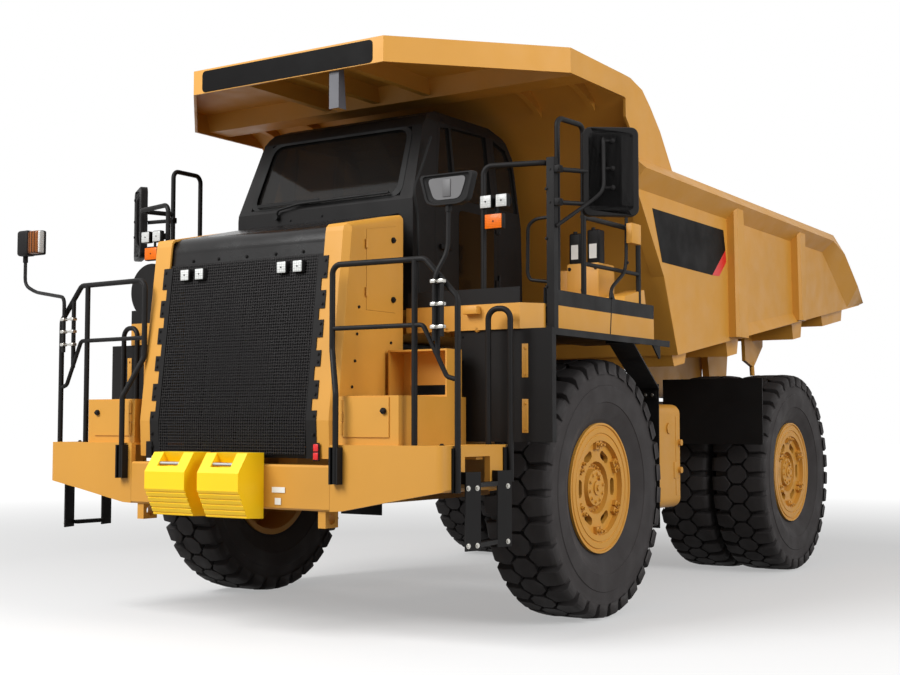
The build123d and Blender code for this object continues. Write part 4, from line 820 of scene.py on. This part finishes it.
class TRUCK_OT_mirrors(bpy.types.Operator):
    """Build the mirrors: rounded housings with recessed backs, arms, stems, clamps and glass"""

    bl_idname = "truck.mirrors"
    bl_label = "Mirrors"

    def execute(self, context):
        black, glass = bmesh.new(), bmesh.new()
        for side, post_x, post_y in MIRROR_POSTS:
            self.housing(black, glass, side, at(side * post_x, post_y, 2.70))
            for z in ARM_HEIGHTS:
                foot, clamp = at(side * post_x, post_y, z), Vector((0.042, 0.024, 0.024))
                bar(black, foot, at(side * 2.125, -0.81, z), 0.016)
                block(black, foot - clamp, foot + clamp, 0.005)
        for stem in (((1.633, -2.005, 1.905), (1.633, -2.005, 2.30), (1.705, -1.96, 2.46),
                      (1.705, -1.954, 2.76)),
                     ((-1.696, -2.005, 1.93), (-1.696, -2.005, 2.34), (-2.225, -1.83, 2.42),
                      (-2.355, -1.83, 2.48), (-2.355, -1.83, 2.72))):
            pipe(black, [at(*point) for point in stem], 0.014, 0.06)
        self.front_mirror(black, glass)
        self.corner_pod(black)
        lens, edge, pan = bmesh.new(), bmesh.new(), bmesh.new()
        block(lens, at(-2.262, -1.896, 2.716), at(-2.150, -1.840, 2.896), 0.020, 4)
        piece("corner_lamp_lens", lens, "amber_dark")
        block(edge, at(-2.158, -1.880, 2.722), at(-2.138, -1.830, 2.890), 0.008, 3)
        piece("corner_lamp_edge", edge, "lamp")
        outline = rounded([at(x, -1.9735, z) for x, z in (
            (1.70, 2.912), (1.85, 2.912), (1.80, 2.775), (1.61, 2.775), (1.56, 2.912), (1.70, 2.912))], 0.04)
        slabbed(pan, outline[:-1], (0, -0.002, 0))
        block(pan, at(1.675, -1.981, 2.79), at(1.735, -1.972, 2.90), 0.005)
        piece("small_mirror_pan", pan, "pan_grey")
        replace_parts(piece("mirror_frames", black, "black_paint"), "mirrors")
        piece("mirror_glasses", glass, "mirror_glass")
        clamps, stays = bmesh.new(), bmesh.new()
        for first, second, heights in ((1.633, 1.690, (1.99, 2.13, 2.27)),
                                       (-1.696, -1.594, (1.985, 2.081, 2.173))):
            low_x, high_x = sorted((first, second))
            for z in heights:
                for x in (first, second):
                    block(clamps, at(x - 0.019, -2.028, z - 0.012), at(x + 0.019, -1.984, z + 0.012), 0.006)
                block(clamps, at(low_x, -2.010, z - 0.006), at(high_x, -2.000, z + 0.006), 0.002, 1)
            bar(stays, at(second, -2.005, 1.93), at(second, -2.005, 2.30), 0.013)
        piece("stem_clamps", clamps, "bolt_steel")
        piece("stem_stays", stays, "black_paint")
        return {"FINISHED"}

    @staticmethod
    def plate(bm, place, half_width, half_height, corner, near, far):
        """Add a plate with rounded corners between two depths of a mirror's own axes."""
        outline = rounded_box(half_width, half_height, corner)
        skin(bm, [[place(u, v, near) for u, v in outline], [place(u, v, far) for u, v in outline]])

    def housing(self, black, glass, side, post):
        """Add one door mirror, its recessed back to the front and its glass to the rear."""
        along = Vector((0.809 * side, 0.588, 0)).normalized()
        front = Vector((0.588 * side, -0.809, 0)).normalized()
        centre = at(side * 2.207, -0.75, 3.08)

        def place(u, v, depth):
            return centre + along * u + front * depth + Vector((0, 0, v))
        self.plate(black, place, 0.1875, 0.300, 0.050, -0.026, 0.008)
        self.plate(glass, place, 0.172, 0.284, 0.040, -0.030, -0.0255)
        rings = []
        for width, height, corner, depth in ((0.1875, 0.300, 0.050, 0.006), (0.1875, 0.300, 0.050, 0.026),
                                             (0.182, 0.2945, 0.046, 0.034), (0.150, 0.262, 0.030, 0.034),
                                             (0.143, 0.255, 0.026, 0.028), (0.138, 0.250, 0.024, 0.007)):
            rings.append([place(u, v, depth) for u, v in rounded_box(width, height, corner)])
        skin(black, rings)
        pipe(black, [place(-0.05, 0.235, 0.012), place(-0.05, 0.20, 0.042), place(-0.05, -0.13, 0.042),
                     place(-0.13, -0.20, 0.05), post], 0.013, 0.05)
        for v in (0.205, 0.02, -0.11):
            hub = place(0.012, v, 0.008)
            bar(black, hub, hub + front * 0.040, 0.016, 14)
            bolt(black, hub + front * 0.040, 0.011, front)
            bar(black, place(-0.062, v, 0.030), place(0.02, v, 0.030), 0.010, 10)

    @staticmethod
    def front_mirror(black, glass):
        """Add the small mirror above the stem, its glass to the rear."""
        outline = ((1.50, 2.938), (1.91, 2.938), (1.86, 2.76), (1.80, 2.738), (1.61, 2.738), (1.55, 2.76))
        middle_x, middle_z = 1.705, 2.85

        def ring(grow, y):
            points = [at(middle_x + (x - middle_x) * grow, y, middle_z + (z - middle_z) * grow)
                      for x, z in outline]
            return rounded([*points, points[0], points[1]], 0.03)[1:-1]
        skin(black, [ring(grow, y) for grow, y in (
            (0.93, -1.930), (1.0, -1.936), (1.0, -1.972), (0.97, -1.985), (0.88, -1.985), (0.86, -1.976),
            (0.82, -1.972))])
        skin(glass, [ring(0.92, -1.931), ring(0.92, -1.928)])
        bar(black, at(1.705, -1.954, 2.70), at(1.705, -1.954, 2.76), 0.020, 14)

    @staticmethod
    def corner_pod(black):
        """Add the black half of the right stem's lamp."""
        block(black, at(-2.385, -1.900, 2.705), at(-2.255, -1.800, 2.905), 0.024, 4)
        block(black, at(-2.300, -1.850, 2.710), at(-2.145, -1.800, 2.900), 0.014, 3)
        for x in (-2.236, -2.206, -2.176):
            block(black, at(x - 0.003, -1.899, 2.724), at(x + 0.003, -1.890, 2.888), 0.001, 1)
        bar(black, at(-2.355, -1.83, 2.66), at(-2.355, -1.83, 2.72), 0.020, 14)


# Small fittings

CHEEK_SIDE = 0.886  # x of the nose cheeks' outer face


class TRUCK_OT_fittings(bpy.types.Operator):
    """Add fender strips, latches, caps, blank plates, studs, tank fittings, chock grips and bolts"""

    bl_idname = "truck.fittings"
    bl_label = "Fittings"

    def execute(self, context):
        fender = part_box("front_fenders")[0][1] - FRONT_WHEEL.y - LIFT
        bm = bmesh.new()
        for low_z, high_z in ((1.70, 1.92), (1.34, 1.56)):
            slabbed(bm, upright(fender, 1.797, 1.843, low_z, high_z), (0, -0.004, 0), 0.0015)
        piece("fender_strips", bm, "yellow_paint", twin=True)
        bolts, strip_bolts, ladder_bolts = bmesh.new(), bmesh.new(), bmesh.new()
        for z in (1.725, 1.89, 1.365, 1.53):
            bolt(strip_bolts, at(1.82, fender - 0.004, z), 0.008)
        piece("fender_strip_bolts", strip_bolts, "yellow_paint", twin=True)
        for z in (1.34, 1.50, 1.66, 1.82, 1.98):
            bolt(bolts, at(1.335, fender, z), 0.007)
        for x in (0.945, 1.10, 1.35, 1.62):
            bolt(bolts, at(x, -1.90, 1.265), 0.012, (0, 0, 1))
        for x, y in ((1.794, -1.873), (1.815, -1.803), (1.815, -1.440)):
            for z in (0.657, 1.006):
                bolt(ladder_bolts, at(x, y, z), 0.012, (0.958, -0.287, 0))
        piece("ladder_bolts", ladder_bolts, "bolt_steel", twin=True)
        piece("frame_bolts", bolts, "black_paint", twin=True)
        studs = bmesh.new()
        for y, z in ((-1.781, 2.164), (-1.801, 1.985), (-1.422, 1.945), (-1.822, 1.808), (-1.853, 1.638),
                     (-1.34, 1.62), (-1.34, 1.36), (-1.86, 1.36)):
            bar(studs, at(CHEEK_SIDE - 0.002, y, z), at(CHEEK_SIDE + 0.006, y, z), 0.010)
        piece("cheek_studs", studs, "black_paint", twin=True)
        for label, side in SIDES:
            bm = bmesh.new()
            for z in (2.645, 2.238):
                bar(bm, at(CHEEK_SIDE, -1.402, z), at(CHEEK_SIDE + 0.012, -1.402, z), 0.020, 18)
                block(bm, at(0.896, -1.418, z - 0.006), at(0.906, -1.386, z + 0.006), 0.002, 1)
            flipped(bm, side)
            piece("service_latches_" + label, bm, "black_paint", "service_door_" + label)
            bm = bmesh.new()
            bar(bm, at(1.279, -2.040, 1.479), at(1.279, -2.052, 1.479), 0.020, 18)
            block(bm, at(1.262, -2.062, 1.472), at(1.296, -2.050, 1.486), 0.003, 1)
            flipped(bm, side)
            piece("step_door_latch_" + label, bm, "black_paint", "step_box_door_" + label)
        bm = bmesh.new()
        block(bm, at(0.730, -2.056, 1.222), at(0.770, -2.048, 1.268))
        block(bm, at(0.730, -2.056, 1.168), at(0.770, -2.048, 1.214))
        piece("switch_caps", bm, "decal_red")
        bm = bmesh.new()
        block(bm, at(0.722, -2.050, 1.160), at(0.778, -2.0425, 1.277), 0.003, 1)
        piece("switch_strip", bm, "black_paint", twin=True)
        bm = bmesh.new()
        for edges in ((0.413, 0.523, 0.953, 0.989), (0.439, 0.490, 0.875, 0.919)):
            slabbed(bm, upright(-2.0835, *edges), (0, -0.001, 0))
        piece("blank_plates", bm, "white_film", twin=True)
        bm = bmesh.new()
        for x, z in ((0.995, 2.038), (1.22, 2.035), (1.456, 2.029)):
            bar(bm, at(x, -1.222, z), at(x, -1.232, z), 0.022, 18)
            bar(bm, at(x, -1.232, z), at(x, -1.240, z), 0.022, 18, 0.010)
        block(bm, at(1.378, -1.290, 2.125), at(1.488, -1.222, 2.178))
        piece("deck_studs", bm, "yellow_paint", twin=True)
        tank = bmesh.new()
        bar(tank, at(1.5505, 1.60, 1.36), at(1.562, 1.60, 1.36), 0.045, 24)
        block(tank, at(1.5495, 1.70, 0.94), at(1.556, 1.80, 1.08), 0.006)
        for y in (1.40, 1.74):
            block(tank, at(1.546, y, 0.80), at(1.5545, y + 0.045, 1.46), 0.002, 1)
        piece("tank_fittings", tank, "yellow_paint")
        grips = bmesh.new()
        for low_x, high_x in ((-0.418, -0.213), (0.063, 0.260)):
            path = [at(x, y, 1.134) for x, y in (
                (low_x, -2.268), (low_x + 0.02, -2.2695), (high_x, -2.2695))]
            pipe(grips, path, 0.0135, 0.01, 14)
        piece("chock_grips", grips, "steel")
        flap = bmesh.new()
        for x in (1.45, 1.51, 1.57):
            bolt(flap, at(x, 1.2515, 1.632), 0.010)
        piece("flap_bolts", flap, "bolt_steel", twin=True)
        return {"FINISHED"}


# Stage

FLOOR_NEAR, FLOOR_FAR = 5.5, 16.0  # distances between which the floor fades to white
NEAR_SHARE = 0.36  # the white's share close to the truck


def backdrop_rays(tree):
    """Give a socket that is 1 for rays that show the background: seen, mirrored or through glass."""
    path = tree.nodes.new("ShaderNodeLightPath")
    shown = path.outputs["Is Camera Ray"]
    for name in ("Is Glossy Ray", "Is Transmission Ray"):
        either = added(tree, "ShaderNodeMath", shown, path.outputs[name], operation="MAXIMUM")
        shown = either.outputs["Value"]
    return shown


def blend_into(tree, share, first, second, out):
    """Blend two shaders by a share and hand the result to an output node."""
    blend = added(tree, "ShaderNodeMixShader", share, first, second)
    feed(tree, out, Surface=blend.outputs["Shader"])


def stage_floor(size):
    """Make the pale floor that fades to white far from the truck."""
    bpy.ops.mesh.primitive_plane_add(size=size, location=(0, 0, -0.002))
    floor = bpy.context.object
    floor.name = "floor"
    material = bpy.data.materials.new("floor")
    material.use_nodes = True
    tree = material.node_tree
    tree.nodes.clear()
    out = tree.nodes.new("ShaderNodeOutputMaterial")
    seen = backdrop_rays(tree)
    near = added(tree, "ShaderNodeBsdfDiffuse", mixed(tree, seen, (0.26, 0.25, 0.24), (0.74, 0.74, 0.74)))
    far = added(tree, "ShaderNodeEmission", Color=(1, 1, 1, 1), Strength=1.05)
    distance = added(tree, "ShaderNodeVectorMath", own_place(tree), operation="LENGTH").outputs["Value"]
    white = ranged(tree, distance, FLOOR_NEAR, FLOOR_FAR, NEAR_SHARE, 1.0)
    share = added(tree, "ShaderNodeMath", white, seen, operation="MULTIPLY").outputs["Value"]
    blend_into(tree, share, near.outputs["BSDF"], far.outputs["Emission"], out)
    floor.data.materials.append(material)


def stage_world(strength):
    """Light evenly from a pale sky that the camera sees as white."""
    world = bpy.data.worlds.new("sky")
    world.use_nodes = True
    tree = world.node_tree
    light = feed(tree, tree.nodes["Background"], Color=(1, 1, 1, 1), Strength=strength)
    white = added(tree, "ShaderNodeBackground", Color=(1, 1, 1, 1), Strength=1.0)
    blend_into(tree, backdrop_rays(tree), light.outputs["Background"], white.outputs["Background"],
               tree.nodes["World Output"])
    bpy.context.scene.world = world


def softbox(name, power, size, place, aim):
    """Hang one square area light that looks at a point."""
    light = bpy.data.lights.new(name, "AREA")
    light.energy = power
    light.size = size
    lamp = bpy.data.objects.new(name, light)
    lamp.location = place
    lamp.rotation_euler = (Vector(aim) - lamp.location).to_track_quat("-Z", "Y").to_euler()
    bpy.context.collection.objects.link(lamp)


class TRUCK_OT_stage(bpy.types.Operator):
    """Set the floor, the light and the camera"""

    bl_idname = "truck.stage"
    bl_label = "Stage"

    def execute(self, context):
        stage = context.scene.truck_stage
        stage_floor(stage.floor_size)
        stage_world(stage.sky)
        softbox("key", stage.key, 7, (-3.5, -13, 10), (0, -2, 1.5))
        softbox("side", stage.key * 0.5, 7, (13, -4, 7), (0, 0, 2))
        camera = bpy.data.cameras.new("camera")
        camera.lens = stage.lens
        camera.sensor_width = 36
        camera.clip_end = 500
        eye = bpy.data.objects.new("camera", camera)
        turn, tilt = stage.camera_turn, stage.camera_tilt
        aim = Vector((-math.sin(turn) * math.cos(tilt), math.cos(turn) * math.cos(tilt), math.sin(tilt)))
        facing = aim.to_track_quat("-Z", "Y").to_matrix().to_4x4()
        eye.matrix_world = Matrix.Translation(stage.camera_place) @ facing
        context.collection.objects.link(eye)
        context.scene.camera = eye
        context.scene.view_settings.view_transform = "Standard"
        return {"FINISHED"}


class TRUCK_PT_panel(bpy.types.Panel):
    """Lists the steps that build the truck's looks"""

    bl_idname = "TRUCK_PT_panel"
    bl_label = "Truck"
    bl_space_type = "VIEW_3D"
    bl_region_type = "UI"
    bl_category = "Truck"

    def draw(self, context):
        for step in STEPS:
            self.layout.operator(step.bl_idname)
        for name, _ in GROUPS:
            group = getattr(context.scene, name)
            for key in group.__annotations__:
                self.layout.prop(group, key)


STEPS = (TRUCK_OT_paint, TRUCK_OT_tyres, TRUCK_OT_wheel_bolts, TRUCK_OT_grille, TRUCK_OT_lamps,
         TRUCK_OT_marks, TRUCK_OT_cab_trim, TRUCK_OT_deck_gear, TRUCK_OT_mirrors, TRUCK_OT_fittings,
         TRUCK_OT_stage)
GROUPS = (("truck_paint", TruckPaint), ("truck_tyre", TruckTyre), ("truck_stage", TruckStage))


def register():
    """Register the classes and hang the settings on the scene."""
    for name, group in GROUPS:
        bpy.utils.register_class(group)
        setattr(bpy.types.Scene, name, PointerProperty(type=group))
    for step in STEPS:
        bpy.utils.register_class(step)
    bpy.utils.register_class(TRUCK_PT_panel)


def unregister():
    """Take the classes and the settings away again."""
    bpy.utils.unregister_class(TRUCK_PT_panel)
    for step in reversed(STEPS):
        bpy.utils.unregister_class(step)
    for name, group in reversed(GROUPS):
        delattr(bpy.types.Scene, name)
        bpy.utils.unregister_class(group)


def main():
    """Build everything in order."""
    register()
    for step in STEPS:
        group, name = step.bl_idname.split(".")
        getattr(getattr(bpy.ops, group), name)()


if __name__ == "__main__":
    main()
